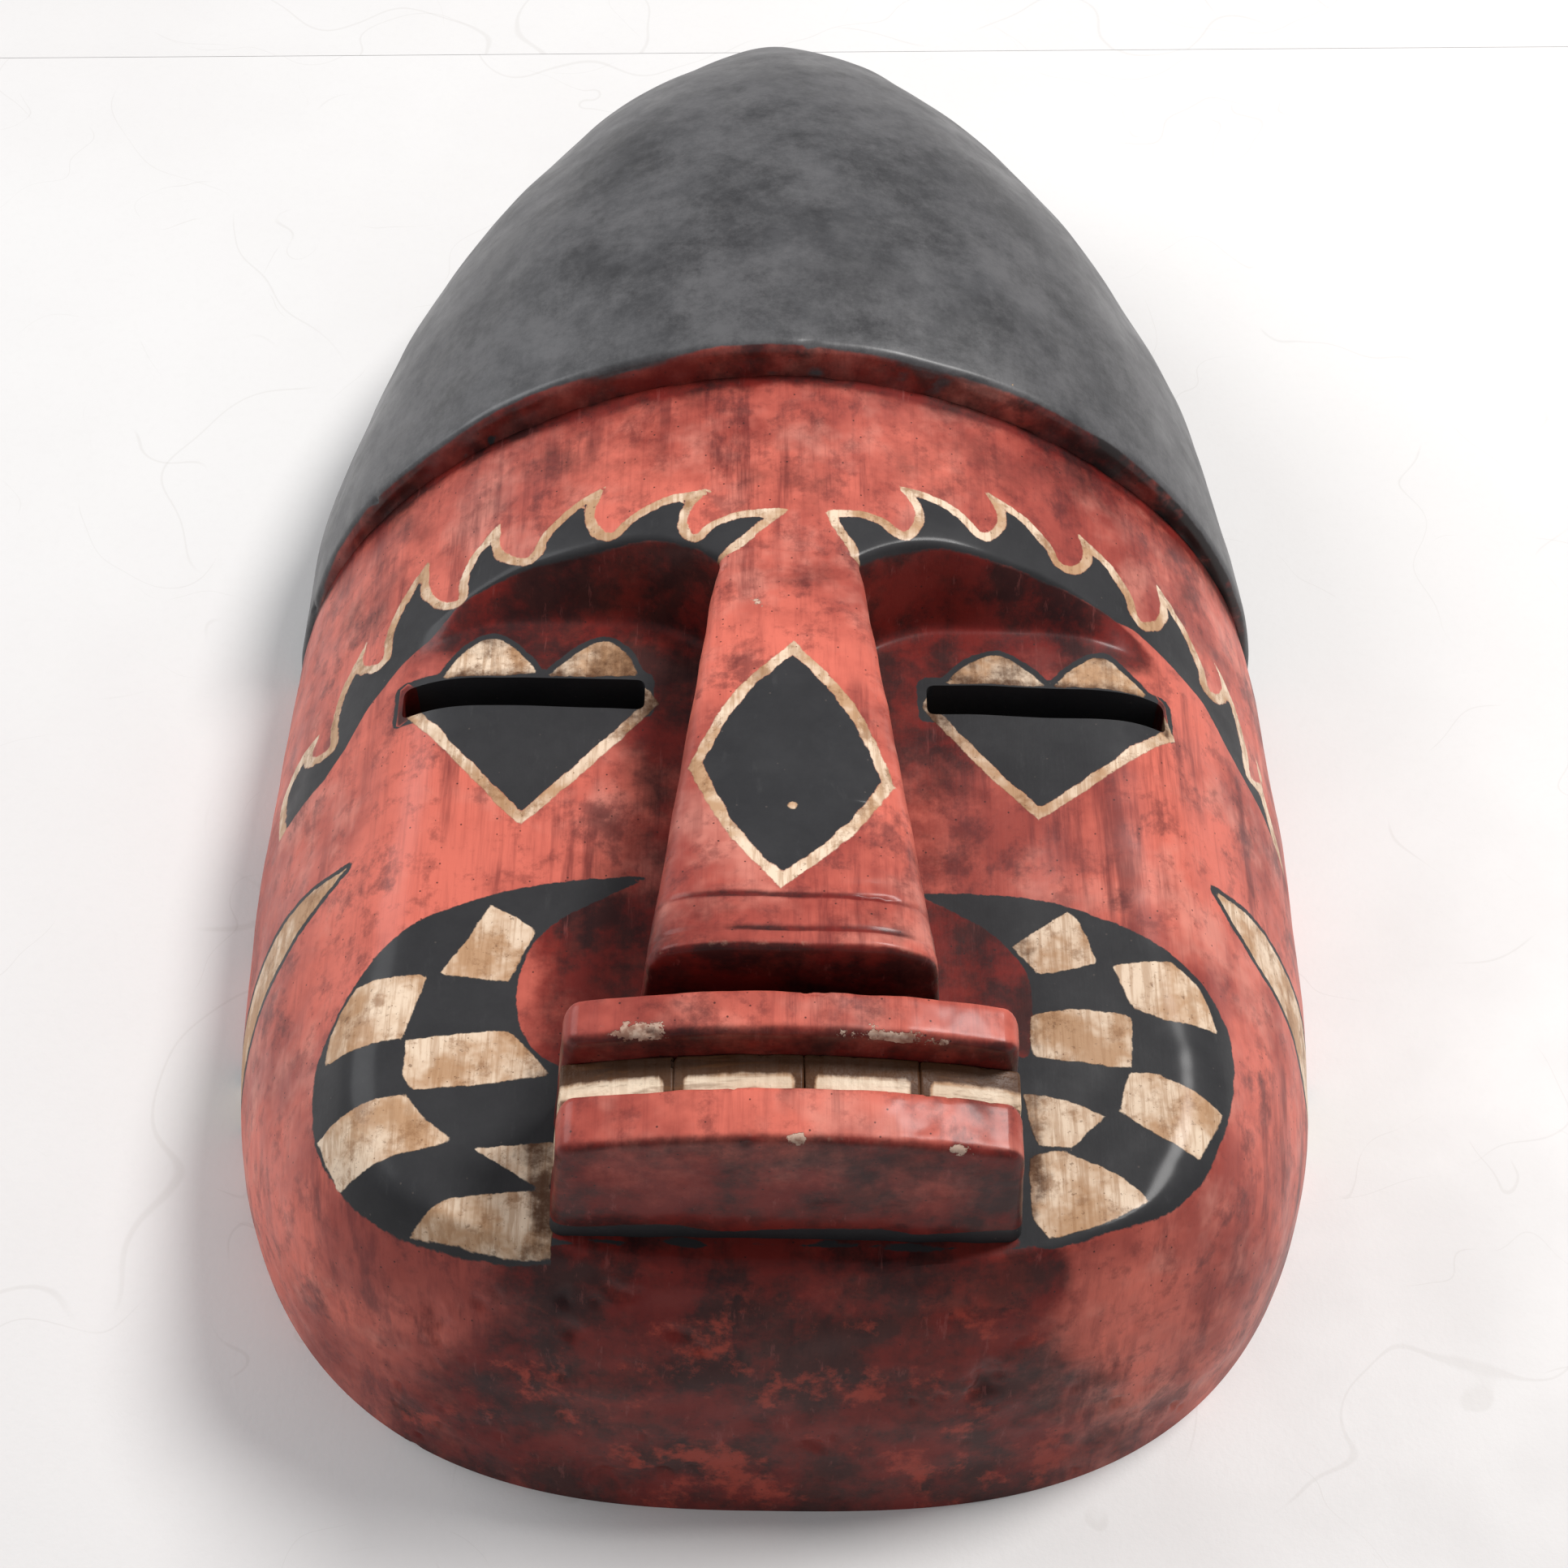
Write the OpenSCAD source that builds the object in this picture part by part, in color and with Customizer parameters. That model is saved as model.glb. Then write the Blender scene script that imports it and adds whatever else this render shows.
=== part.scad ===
// Carved wooden folk art mask, lying on its back with the face up.
// +X to the wearer's left, +Y from the chin to the tip of the cap, +Z out of the face.
// The origin is the middle of the flat back. All sizes are millimetres.

/* [Face] */
// Half of the greatest width, at the cheeks
cheek_half_w = 101.5; // [97:0.5:106]
// Half of the width where the face meets the cap
join_half_w = 98.5; // [95:0.5:98.5]
// Length from the chin to the join, measured along the back
face_length = 175; // [170:1:180]
// Height of the face at the mouth
mouth_h = 60; // [58:0.5:62]
// Height of the face under the brows
eye_h = 62; // [61:0.5:64]
// Height of the forehead
forehead_h = 83; // [81:0.5:85]
// Thickness of the side walls
wall = 13; // [12:0.5:15]

/* [Cap] */
// Height of the cap at its front edge
cap_h = 90; // [88:0.5:92]
// Half of the width of the cap at its front edge
cap_half_w = 99.5; // [99:0.5:101]
// Length of the cap along the back
cap_length = 167; // [160:1:175]
// Lean of the joint between cap and face, in degrees
lean = 9; // [7:0.5:11]

/* [Eyes] */
// Distance from the middle to the inner end of an eye slot
slot_in = 25.5; // [23:0.5:28]
// Length of an eye slot
slot_length = 44; // [40:1:46]
// Width of an eye slot
slot_w = 6.5; // [5:0.5:8]

/* [Nose and mouth] */
// Height of the tip of the nose
nose_tip_h = 101.5; // [99:0.5:104]
// Half of the width of the nose at its tip
nose_tip_half_w = 22.5; // [21:0.5:24]
// Height of the lower lip
lip_h = 90; // [88:0.5:92]
// How far the upper lip stands above the lower one
lip_step = 6; // [4:0.5:7]
// Half of the width of the mouth at its foot
mouth_half_w = 38; // [36:0.5:40]

/* [Hanger] */
// Depth of the flat shelf that the hanger is screwed to
shelf_z = 24; // [22:0.5:26]
// Diameter of the ring's wire
wire_d = 2.2; // [2:0.1:2.6]
// Half of the width of the ring, to the middle of its wire
ring_r = 7.5; // [7:0.25:8.5]

/* [Hidden] */
$fn = 32;

RED = "#B0483C";
BLACK = "#38383A";
CREAM = "#E6D7B9";
BARE_WOOD = "#B98F5E";
STEEL = "#A9A9A6";

// Outline of the face
waist_s = -65;
chin_l = face_length + waist_s;
outline_power = 2.8;
chin_power = 4;
cheek_blend = 6;
forehead_power = 1.85;
cap_power = 1.9;
core_power = 2;
cap_plan_power = 1.9;
cap_plan_round = 0.7;
chin_rake = 0.12;

// Hollow back
core_top_clear = 13;
core_chin_wall = 16;
core_forehead_clear = 11;
core_cap_l = 118;
core_rise_s = -45;
core_half_w = join_half_w - wall;
core_join_h = forehead_h - core_forehead_clear;
core_mouth_h = mouth_h - core_top_clear;
over = 2;

// Brow edge
brow_s0 = -31;
brow_dip = 16;
brow_dip_w = 30;
brow_root_w = 12;
brow_fall = 24;
brow_fall_from = 45;
brow_fall_w = 52;
brow_draft = 4;

// Mesh density
half_cols = 18;
cheek_rows = 20;
brow_rows = 6;
cap_rows = 14;
core_row_count = 12;
tip_t = 0.985;

// Nose and mouth, along Y
nose_root_y = -27;
nose_tip_y = -123;
nose_floor = 56;
nose_root_half_w = 12.2;
nose_root_lift = 0.5;
mouth_floor = 54;
lip_front_y = -152.5;
lip_rake = 2.5;
lower_back_y = -141;
teeth_back_y = -134.8;
upper_back_y = -127.5;
lip_taper = 3;
lip_crown = 3;
lip_cols = 6;
tooth_drop = 1.5;
tooth_chamfer = 1;
tooth_edges = [-1, -0.51, 0.055, 0.56, 1];

// Eye slots
slot_y = -46.5;
slot_floor = 22;
slot_round = 1.5;

// Dowels
peg_gap = 0.05;
crown_peg_r = 3;
crown_peg_l = 26;
crown_peg_places = [[-90.5, 12], [-50, 63.8], [50, 63.8], [90.5, 12]];
nose_peg_r = 4;
nose_peg_ys = [-60, -105];
nose_peg_z = [45, 74];
lip_peg_r = 2.4;
lip_peg_xs = [-22, 22];
lip_peg_z = [44, 74];
upper_peg_y = (teeth_back_y + upper_back_y) / 2;
lower_peg_y = (lip_front_y + lip_rake + lower_back_y) / 2 + 0.5;

// Hanger
shelf_half_w = 20.6;
shelf_y = [96, 152];
strap_t = 1;
strap_w = 11;
strap_y = [108, 131];
hinge_y = 133;
curl_wall = 1;
curl_w = 9;
hinge_gap = 0.05;
hinge_z = shelf_z - wire_d / 2 - hinge_gap - curl_wall;
ring_leg = 3;
screw_ys = [112, 123];
screw_r = 1.4;
screw_head_r = 2.9;
screw_head_h = 1.8;
screw_l = 13;
screw_slot = 0.8;

lean_k = tan(lean);

function clamp01(t) = max(0, min(1, t));
function ease(a, b, x) = let(t = clamp01((x - a) / (b - a))) t * t * (3 - 2 * t);
function root(x, p) = pow(max(0, x), 1 / p);

// How far a point at station s leans along Y for each millimetre of height
function rake(s) = lean_k * ease(-70, 0, s) + chin_rake * ease(-130, -face_length, s);
function placed(x, s, z) = [x, s + rake(s) * z, z];

// Height factor of a rounded slab: 1 in the middle, 0 on its outline
function dome(x, s, w, chin, p_side, p_chin) =
    let(a = pow(abs(x) / w, outline_power))
    let(t = pow(clamp01((waist_s - s) / chin), outline_power))
    let(p = p_side + (p_chin - p_side) * t / (a + t + 1e-9))
    root(1 - pow(min(1, root(a + t, outline_power)), p), p);

function face_half_w(s) =
    s < waist_s ? cheek_half_w : cheek_half_w - (cheek_half_w - join_half_w) * pow(1 - s / waist_s, 2);

function brow_s(x) =
    let(r = max(brow_root_w, abs(x)))
    brow_s0 - brow_dip * pow(max(0, 1 - r / brow_dip_w), 2)
    - brow_fall * pow(max(0, (r - brow_fall_from) / brow_fall_w), 2);

// The face is one full dome; below the brows it is pared down to a nearly flat plane
function forehead_z(x, s) =
    forehead_h * dome(x, s, face_half_w(s), chin_l, forehead_power, chin_power);
function soft_min(a, b, r) = let(h = clamp01(0.5 + (b - a) / (2 * r))) b + (a - b) * h - r * h * (1 - h);
function cheek_z(x, s) =
    soft_min(mouth_h + (eye_h - mouth_h) * ease(-130, -45, s), forehead_z(x, s), cheek_blend);

// Grid columns crowd towards the outline, where the surface is steep
function column(j) = sin(90 * j / half_cols);
function end_s(a, chin) = waist_s - chin * root(1 - pow(abs(a), outline_power) / 2, outline_power);
function col_x(a, s, w, chin) =
    let(b = clamp01((waist_s - s) / (waist_s - end_s(a, chin))))
    a * w * root(1 - pow(b, outline_power) / 2, outline_power);

function cheek_point(a, v) =
    let(top = brow_s(a * cheek_half_w) - brow_draft)
    let(s = top + v * (end_s(a, chin_l) - top))
    let(x = col_x(a, s, face_half_w(s), chin_l))
    placed(x, s, v == 1 || abs(a) == 1 ? 0 : cheek_z(x, s));
function forehead_point(a, v) =
    let(s = brow_s(a * cheek_half_w) * v)
    let(x = a * face_half_w(s))
    placed(x, s, abs(a) == 1 ? 0 : forehead_z(x, s));

// Rows run from the join down to the chin
face_grid = [
    for (i = [0:brow_rows]) [for (j = [-half_cols:half_cols]) forehead_point(column(j), i / brow_rows)],
    for (i = [0:cheek_rows]) [for (j = [-half_cols:half_cols]) cheek_point(column(j), sin(90 * i / cheek_rows))]
];

core_chin = chin_l - core_chin_wall;
function core_half_w_at(s) = s < waist_s ? cheek_half_w - wall : face_half_w(s) - wall;
function core_z(x, s) =
    (core_mouth_h + (core_join_h - core_mouth_h) * ease(core_rise_s, 0, s))
    * dome(x, s, core_half_w_at(s), core_chin, core_power, 5);
function core_point(a, v) =
    let(s = v * end_s(a, core_chin))
    let(x = col_x(a, s, core_half_w_at(s), core_chin))
    placed(x, s, v == 1 || abs(a) == 1 ? -over : core_z(x, s));
core_rows = [
    for (i = [0:core_row_count])
        [for (j = [-half_cols:half_cols]) core_point(column(j), sin(90 * i / core_row_count))]
];
// The hollow runs on past the join and past the back plane, so that it cuts cleanly
core_grid = [
    for (i = [0:core_row_count])
        i == 0 ? [for (p = core_rows[0]) p + [0, over, 0]] : core_rows[i]
];

// A cap-shaped dome, one row for each station from the join to the tip; its edge lies at floor_z
function cap_grid(w, h, l, p, p_plan, round_plan, floor_z) = [
    for (i = [0:cap_rows]) let(t = min(tip_t, sin(90 * i / cap_rows))) [
        for (j = [-half_cols:half_cols])
            let(a = 90 * j / half_cols)
            let(edge = i == cap_rows || abs(j) == half_cols)
            let(z = edge ? floor_z : h * sqrt(1 - t * t) * pow(cos(a), 2 / p))
            [sign(a) * w * pow(1 - pow(t, p_plan), round_plan) * pow(abs(sin(a)), 2 / p), l * t + lean_k * z, z]
    ]
];
outer_cap = cap_grid(cap_half_w, cap_h, cap_length, cap_power, cap_plan_power, cap_plan_round, 0);
inner_cap = cap_grid(core_half_w, core_join_h, core_cap_l, core_power, 2, 0.5, -over);

// Closes a grid whose two sides and last row lie on the back plane
module dome_solid(grid, flip = false) {
    rows = len(grid);
    cols = len(grid[0]);
    skin = [for (i = [0:rows - 2], j = [0:cols - 2])
        let(p = i * cols + j)
        each [[p, p + 1, p + cols], [p + 1, p + cols + 1, p + cols]]];
    join = [for (j = [0:cols - 1]) cols - 1 - j];
    back = [
        cols - 1, 0,
        for (i = [1:rows - 1]) i * cols,
        for (j = [1:cols - 1]) (rows - 1) * cols + j,
        for (i = [2:rows - 1]) (rows - i) * cols + cols - 1
    ];
    faces = [each skin, join, back];
    polyhedron(
        points = [for (row = grid) each row],
        faces = flip ? [for (f = faces) [for (k = [len(f) - 1:-1:0]) f[k]]] : faces,
        convexity = 6
    );
}

// Moves a piece so that the origin is the middle of the whole part's back
module centred() {
    tip_y = max([for (row = outer_cap, p = row) p.y]);
    translate([0, (face_length - tip_y) / 2, 0])
        children();
}

module eye_slots() {
    for (side = [-1, 1])
        translate([side * (slot_in + slot_length / 2), slot_y, slot_floor])
            linear_extrude(eye_h)
                offset(slot_round)
                    square([slot_length - 2 * slot_round, slot_w - 2 * slot_round], center = true);
}

module crown_peg_set(r, l) {
    for (p = crown_peg_places)
        translate([p.x, lean_k * p.y, p.y])
            rotate([-90 - lean, 0, 0])
                cylinder(r = r, h = l, center = true);
}

module nose_peg_set(r) {
    for (y = nose_peg_ys)
        translate([0, y, nose_peg_z[0]])
            cylinder(r = r, h = nose_peg_z[1] - nose_peg_z[0]);
}

module lip_peg_set(r) {
    for (x = lip_peg_xs, y = [lower_peg_y, upper_peg_y])
        translate([x, y, lip_peg_z[0]])
            cylinder(r = r, h = lip_peg_z[1] - lip_peg_z[0]);
}

// Skins a run of sections, each a loop that turns left as seen from the last section
module loft(sections) {
    n = len(sections[0]);
    last = (len(sections) - 1) * n;
    polyhedron(
        points = [for (loop = sections) each loop],
        faces = [
            [for (k = [0:n - 1]) k],
            for (i = [0:len(sections) - 2], k = [0:n - 1])
                let(a = i * n + k, b = i * n + (k + 1) % n)
                each [[a, a + n, b], [b, a + n, b + n]],
            [for (k = [0:n - 1]) last + n - 1 - k]
        ],
        convexity = 4
    );
}

// Cross-section of the nose at station y: flat top, bevelled shoulders, flared sides
function nose_section(y, half_w, top, side_drop, flare) = [
    [-half_w - flare, y, nose_floor], [-half_w, y, top - side_drop], [-half_w * 0.72, y, top],
    [half_w * 0.72, y, top], [half_w, y, top - side_drop], [half_w + flare, y, nose_floor]
];
module nose_block() {
    loft([nose_section(nose_tip_y, nose_tip_half_w, nose_tip_h, 6, 3.5),
          nose_section(nose_root_y, nose_root_half_w, forehead_h + nose_root_lift, 1, 2)]);
}

// Half of the width of the mouth at height z: its foot is wider than its top
function mouth_w(z) = mouth_half_w - lip_taper * (z - mouth_floor) / (lip_h - mouth_floor);
// A point of the mouth at height z, u of the way to its end
function mouth_point(u, y, z) = [u * mouth_w(z), y, z];
function crowned(z, u) = z - lip_crown * u * u;
module lip_block(front_y, rake_y, back_y, top) {
    loft([for (i = [-lip_cols:lip_cols]) let(u = i / lip_cols, z = crowned(top, u)) [
        mouth_point(u, front_y, mouth_floor),
        mouth_point(u, back_y, mouth_floor),
        mouth_point(u, back_y, z),
        mouth_point(u, front_y + rake_y * (z - mouth_floor) / (top - mouth_floor), z)
    ]]);
}
module lower_lip_block() lip_block(lip_front_y, lip_rake, lower_back_y, lip_h);
module upper_lip_block() lip_block(teeth_back_y, 0, upper_back_y, lip_h + lip_step);

// One tooth, with its upper corners cut off so that a groove shows between neighbours
module tooth_block(i) {
    u0 = tooth_edges[i];
    u1 = tooth_edges[i + 1];
    cut = tooth_chamfer / mouth_half_w;
    z0 = crowned(lip_h - tooth_drop, u0);
    z1 = crowned(lip_h - tooth_drop, u1);
    loft([for (y = [lower_back_y, teeth_back_y]) [
        mouth_point(u0, y, mouth_floor), mouth_point(u0, y, z0 - tooth_chamfer),
        mouth_point(u0 + cut, y, z0), mouth_point(u1 - cut, y, z1),
        mouth_point(u1, y, z1 - tooth_chamfer), mouth_point(u1, y, mouth_floor)
    ]]);
}

// The one mortise that holds both lips and the teeth
module mouth_mortise() {
    loft([for (z = [mouth_floor, lip_h]) let(front_y = z == lip_h ? lip_front_y + lip_rake : lip_front_y) [
        mouth_point(-1, front_y, z), mouth_point(1, front_y, z),
        mouth_point(1, upper_back_y, z), mouth_point(-1, upper_back_y, z)
    ]]);
}

module face_shell() {
    color(RED) centred()
        difference() {
            dome_solid(face_grid);
            dome_solid(core_grid);
            eye_slots();
            nose_block();
            mouth_mortise();
            nose_peg_set(nose_peg_r + peg_gap);
            lip_peg_set(lip_peg_r + peg_gap);
            crown_peg_set(crown_peg_r + peg_gap, crown_peg_l);
        }
}

module hanger_shelf() {
    translate([-shelf_half_w, shelf_y[0], -over])
        cube([2 * shelf_half_w, shelf_y[1] - shelf_y[0], shelf_z + over]);
}

module cap_core() {
    dome_solid([
        for (i = [0:cap_rows])
            i == 0 ? [for (p = inner_cap[0]) p - [0, over, 0]] : inner_cap[i]
    ], true);
    hanger_shelf();
}

module crown() {
    color(BLACK) centred()
        difference() {
            dome_solid(outer_cap, true);
            cap_core();
            crown_peg_set(crown_peg_r + peg_gap, crown_peg_l);
            for (y = screw_ys)
                translate([0, y, shelf_z - 1])
                    cylinder(r = screw_r + peg_gap, h = screw_l);
        }
}

module nose() {
    color(RED) centred()
        difference() {
            nose_block();
            nose_peg_set(nose_peg_r + peg_gap);
        }
}

module upper_lip() {
    color(RED) centred()
        difference() {
            upper_lip_block();
            lip_peg_set(lip_peg_r + peg_gap);
        }
}

module lower_lip() {
    color(RED) centred()
        difference() {
            lower_lip_block();
            lip_peg_set(lip_peg_r + peg_gap);
        }
}

module tooth(i) {
    color(CREAM) centred()
        tooth_block(i);
}

module crown_pegs() {
    color(BARE_WOOD) centred()
        crown_peg_set(crown_peg_r, crown_peg_l);
}

module nose_pegs() {
    color(BARE_WOOD) centred()
        nose_peg_set(nose_peg_r);
}

module lip_pegs() {
    color(BARE_WOOD) centred()
        lip_peg_set(lip_peg_r);
}

module hanger_plate() {
    color(STEEL) centred()
        difference() {
            union() {
                translate([-strap_w / 2, strap_y[0], shelf_z - strap_t])
                    cube([strap_w, strap_y[1] - strap_y[0], strap_t]);
                translate([-curl_w / 2, strap_y[1] - 1, shelf_z - strap_t])
                    cube([curl_w, hinge_y - strap_y[1] + 1, strap_t]);
                translate([0, hinge_y, hinge_z])
                    rotate([0, 90, 0])
                        cylinder(r = wire_d / 2 + hinge_gap + curl_wall, h = curl_w, center = true);
            }
            translate([0, hinge_y, hinge_z])
                rotate([0, 90, 0])
                    cylinder(r = wire_d / 2 + hinge_gap, h = curl_w + 2, center = true);
            for (y = screw_ys)
                translate([0, y, shelf_z - strap_t - 1])
                    cylinder(r = screw_r + peg_gap, h = strap_t + 2);
        }
}

module screw() {
    difference() {
        union() {
            translate([0, 0, -screw_head_h])
                cylinder(r1 = screw_head_r * 0.75, r2 = screw_head_r, h = screw_head_h);
            cylinder(r = screw_r, h = screw_l);
        }
        translate([-screw_head_r, -screw_slot / 2, -screw_head_h - 1])
            cube([2 * screw_head_r, screw_slot, 1 + screw_slot]);
    }
}

module hanger_screws() {
    color(STEEL) centred()
        for (y = screw_ys)
            translate([0, y, shelf_z - strap_t])
                screw();
}

// A D-shaped ring that hangs from the curl of the strap
module hanger_ring() {
    color(STEEL) centred()
        translate([0, hinge_y, hinge_z]) {
            rotate([0, 90, 0])
                cylinder(d = wire_d, h = 2 * ring_r, center = true);
            for (side = [-1, 1])
                translate([side * ring_r, 0, 0]) {
                    sphere(d = wire_d);
                    translate([0, 0, -ring_leg])
                        cylinder(d = wire_d, h = ring_leg);
                }
            translate([0, 0, -ring_leg])
                rotate([90, 0, 0])
                    rotate_extrude(angle = -180)
                        translate([ring_r, 0])
                            circle(d = wire_d);
        }
}

face_shell();
crown();
nose();
upper_lip();
lower_lip();
tooth(0);  // tooth_1
tooth(1);  // tooth_2
tooth(2);  // tooth_3
tooth(3);  // tooth_4
crown_pegs();
nose_pegs();
lip_pegs();
hanger_plate();
hanger_screws();
hanger_ring();
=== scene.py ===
"""Looks of a carved and painted wooden mask that lies on its back on a pale table."""
import math

import bmesh
import bpy
import numpy as np
from mathutils import Matrix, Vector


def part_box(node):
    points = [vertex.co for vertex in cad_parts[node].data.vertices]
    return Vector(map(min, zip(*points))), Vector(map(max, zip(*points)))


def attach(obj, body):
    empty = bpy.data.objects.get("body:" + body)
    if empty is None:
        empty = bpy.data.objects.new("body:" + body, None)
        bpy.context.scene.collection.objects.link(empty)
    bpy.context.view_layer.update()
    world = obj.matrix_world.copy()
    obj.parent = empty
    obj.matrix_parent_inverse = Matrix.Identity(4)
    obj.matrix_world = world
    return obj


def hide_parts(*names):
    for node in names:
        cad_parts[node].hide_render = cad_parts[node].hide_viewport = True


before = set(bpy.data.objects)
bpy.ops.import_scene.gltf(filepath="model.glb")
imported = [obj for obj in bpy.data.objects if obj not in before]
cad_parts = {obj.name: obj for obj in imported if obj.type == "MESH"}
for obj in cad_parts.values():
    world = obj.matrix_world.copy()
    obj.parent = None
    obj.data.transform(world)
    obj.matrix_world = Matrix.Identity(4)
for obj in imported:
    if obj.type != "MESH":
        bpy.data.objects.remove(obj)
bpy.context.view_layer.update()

MM = 0.001
FAR = 50.0
# The shapes below are drawn in millimetres with y = 0 where the cap meets the face
JOIN_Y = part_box("crown")[0].y / MM

# Outline and heights of the face
CHEEK_HALF_W = 101.5
JOIN_HALF_W = 98.5
FACE_LENGTH = 175.0
MOUTH_H = 60.0
EYE_H = 62.0
FOREHEAD_H = 83.0
WALL = 13.0
WAIST = -65.0
CHIN = FACE_LENGTH + WAIST
OUTLINE_POWER = 2.8
FOREHEAD_POWER = 1.85
CHIN_POWER = 4.0
CHEEK_BLEND = 6.0
CHIN_BLEND = 1.2
LEAN = math.tan(math.radians(9))
CHIN_RAKE = 0.175
BROW_DRAFT = 4.0

# Cap
CAP_H = 90.0
CAP_HALF_W = 99.5
CAP_LENGTH = 167.0
CAP_POWER = 1.9
LIP_ROUND = 1.8
CAP_ROWS = 150
CAP_COLUMNS = 241

# Hollow back
CORE_MOUTH_H = MOUTH_H - WALL
CORE_JOIN_H = FOREHEAD_H - 11
CORE_CHIN = CHIN - 16
CORE_CAP_L = 118.0
SHELF_HALF_W = 20.6
SHELF_Y = (96.0, 152.0)
SHELF_Z = 24.0
SHELF_CORNER = 2.5

# Eye slots
SLOT_X = (25.5, 69.5)
SLOT_Y = -46.5
SLOT_W = 6.5
SLOT_CORNER = 1.6
SLOT_CUT_Z = (22, 90)

# Knots and old dents in the front of the chin: x, z, half width, half height, depth
CHIN_KNOTS = (
    (-57, 43, 1.6, 4.5, 1.6), (-34, 46, 1.5, 2.0, 0.8), (33, 36, 2.0, 4.0, 1.5), (-29, 9, 2.2, 3.0, 0.9),
    (-36, 25, 1.1, 1.5, 0.7), (58, 42, 1.2, 1.6, 0.5), (70, 34, 1.0, 2.4, 0.6),
)

# Nose and mouth
NOSE_Y = (-27.0, -123.0)
NOSE_TOP = (82.8, 101.5)
NOSE_HALF_W = (12.2, 22.5)
NOSE_FLOOR = 56.0
NOSE_CREASES_Y = (-112.3, -119.2)
MOUTH_HALF_W = 38.0
MOUTH_FLOOR = 54.0
CHIN_EDGE_Y = -157.0
LIP_H = 90.0
LIP_STEP = 6.0
LIP_TAPER = 3.0
LIP_CROWN = 4.6
LIP_FRONT_Y = -152.5
LIP_RAKE = 2.5
LOWER_BACK_Y = -141.0
TEETH_BACK_Y = -134.8
UPPER_BACK_Y = -127.5
TOOTH_EDGES = (-1, -0.51, 0.055, 0.56, 1)

# Edges of the hanger, and the painted lines
HARDWARE_BEVEL = 0.12
CREAM_LINE = 1.7
FRAME_EXTRA = 0.35
EDGE_BLUR = 0.14


# ---------------------------------------------------------------- numbers
def ease(a, b, x):
    t = np.clip((x - a) / (b - a), 0, 1)
    return t * t * (3 - 2 * t)


def bell(x, width):
    return np.exp(-(x / width) ** 2)


def between(pair, share):
    return pair[0] + (pair[1] - pair[0]) * share


def run_length(points):
    """Distance along a line of points, from its start to each of them."""
    return np.concatenate([[0], np.cumsum(np.linalg.norm(np.diff(points, axis=0), axis=1))])


def waves(points, length, seed, count=14):
    """Smooth unevenness from -1 to 1 over an array of points, bumps about length apart."""
    rng = np.random.default_rng(seed)
    total = np.zeros(points.shape[:-1])
    for _ in range(count):
        direction = rng.normal(size=3)
        direction /= np.linalg.norm(direction)
        step = length * rng.uniform(0.7, 1.5)
        total += np.sin(points @ direction * 2 * math.pi / step + rng.uniform(0, 2 * math.pi))
    return total / math.sqrt(count)


# ---------------------------------------------------------------- shape of the mask
def rake(s):
    return LEAN * ease(-70, 0, s) + CHIN_RAKE * ease(-130, -FACE_LENGTH, s)


def half_width(s):
    narrowing = (CHEEK_HALF_W - JOIN_HALF_W) * np.clip(1 - s / WAIST, 0, 1) ** 2
    return CHEEK_HALF_W - narrowing


def dome(x, s, width, chin, side_power, chin_power):
    """Height factor of a rounded slab: 1 in the middle, 0 on its outline."""
    a = (np.abs(x) / width) ** OUTLINE_POWER
    t = np.clip((WAIST - s) / chin, 0, 1) ** OUTLINE_POWER
    power = side_power + (chin_power - side_power) * t / (a + t + 1e-9)
    reach = np.minimum(1, (a + t) ** (1 / OUTLINE_POWER))
    return (1 - reach ** power) ** (1 / power)


def forehead_z(x, s):
    return FOREHEAD_H * dome(x, s, half_width(s), CHIN, FOREHEAD_POWER, CHIN_POWER)


def cheek_z(x, s):
    plane = MOUTH_H + (EYE_H - MOUTH_H) * ease(-130, -45, s)
    full = forehead_z(x, s)
    blend = CHEEK_BLEND + (CHIN_BLEND - CHEEK_BLEND) * ease(-138, -156, s)
    h = np.clip(0.5 + (full - plane) / (2 * blend), 0, 1)
    return full + (plane - full) * h - blend * h * (1 - h)


def brow_s(x):
    r = np.maximum(12, np.abs(x))
    return -31 - 16 * np.maximum(0, 1 - r / 30) ** 2 - 24 * np.maximum(0, (r - 45) / 52) ** 2


def face_z(x, s):
    """Forehead, brow wall with slightly rounded arrises, and the pared plane below it."""
    t = (brow_s(x) - s) / BROW_DRAFT
    soft = 0.11
    step = (np.sqrt(t * t + soft * soft) - np.sqrt((t - 1) ** 2 + soft * soft) + 1) / 2
    high = forehead_z(x, s)
    return high + (cheek_z(x, s) - high) * np.clip(step, 0, 1)


def core_z(x, s):
    height = CORE_MOUTH_H + (CORE_JOIN_H - CORE_MOUTH_H) * ease(-45, 0, s)
    return height * dome(x, s, half_width(s) - WALL, CORE_CHIN, 2, 5)


def column_end(a, chin):
    return WAIST - chin * (1 - np.abs(a) ** OUTLINE_POWER / 2) ** (1 / OUTLINE_POWER)


def column_x(a, s, width, chin):
    b = np.clip((WAIST - s) / (WAIST - column_end(a, chin)), 0, 1)
    return a * width * (1 - b ** OUTLINE_POWER / 2) ** (1 / OUTLINE_POWER)


def spread(count, crowding=1.3):
    """Columns from -1 to 1, closer together towards the outline."""
    half = np.sin(crowding * np.linspace(0, 1, count)) / math.sin(crowding)
    gap = 1 - half[-2]
    half = np.concatenate([half[:-1], [1 - gap / 3, 1 - gap / 12, 1]])
    return np.concatenate([-half[:0:-1], half])


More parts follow.
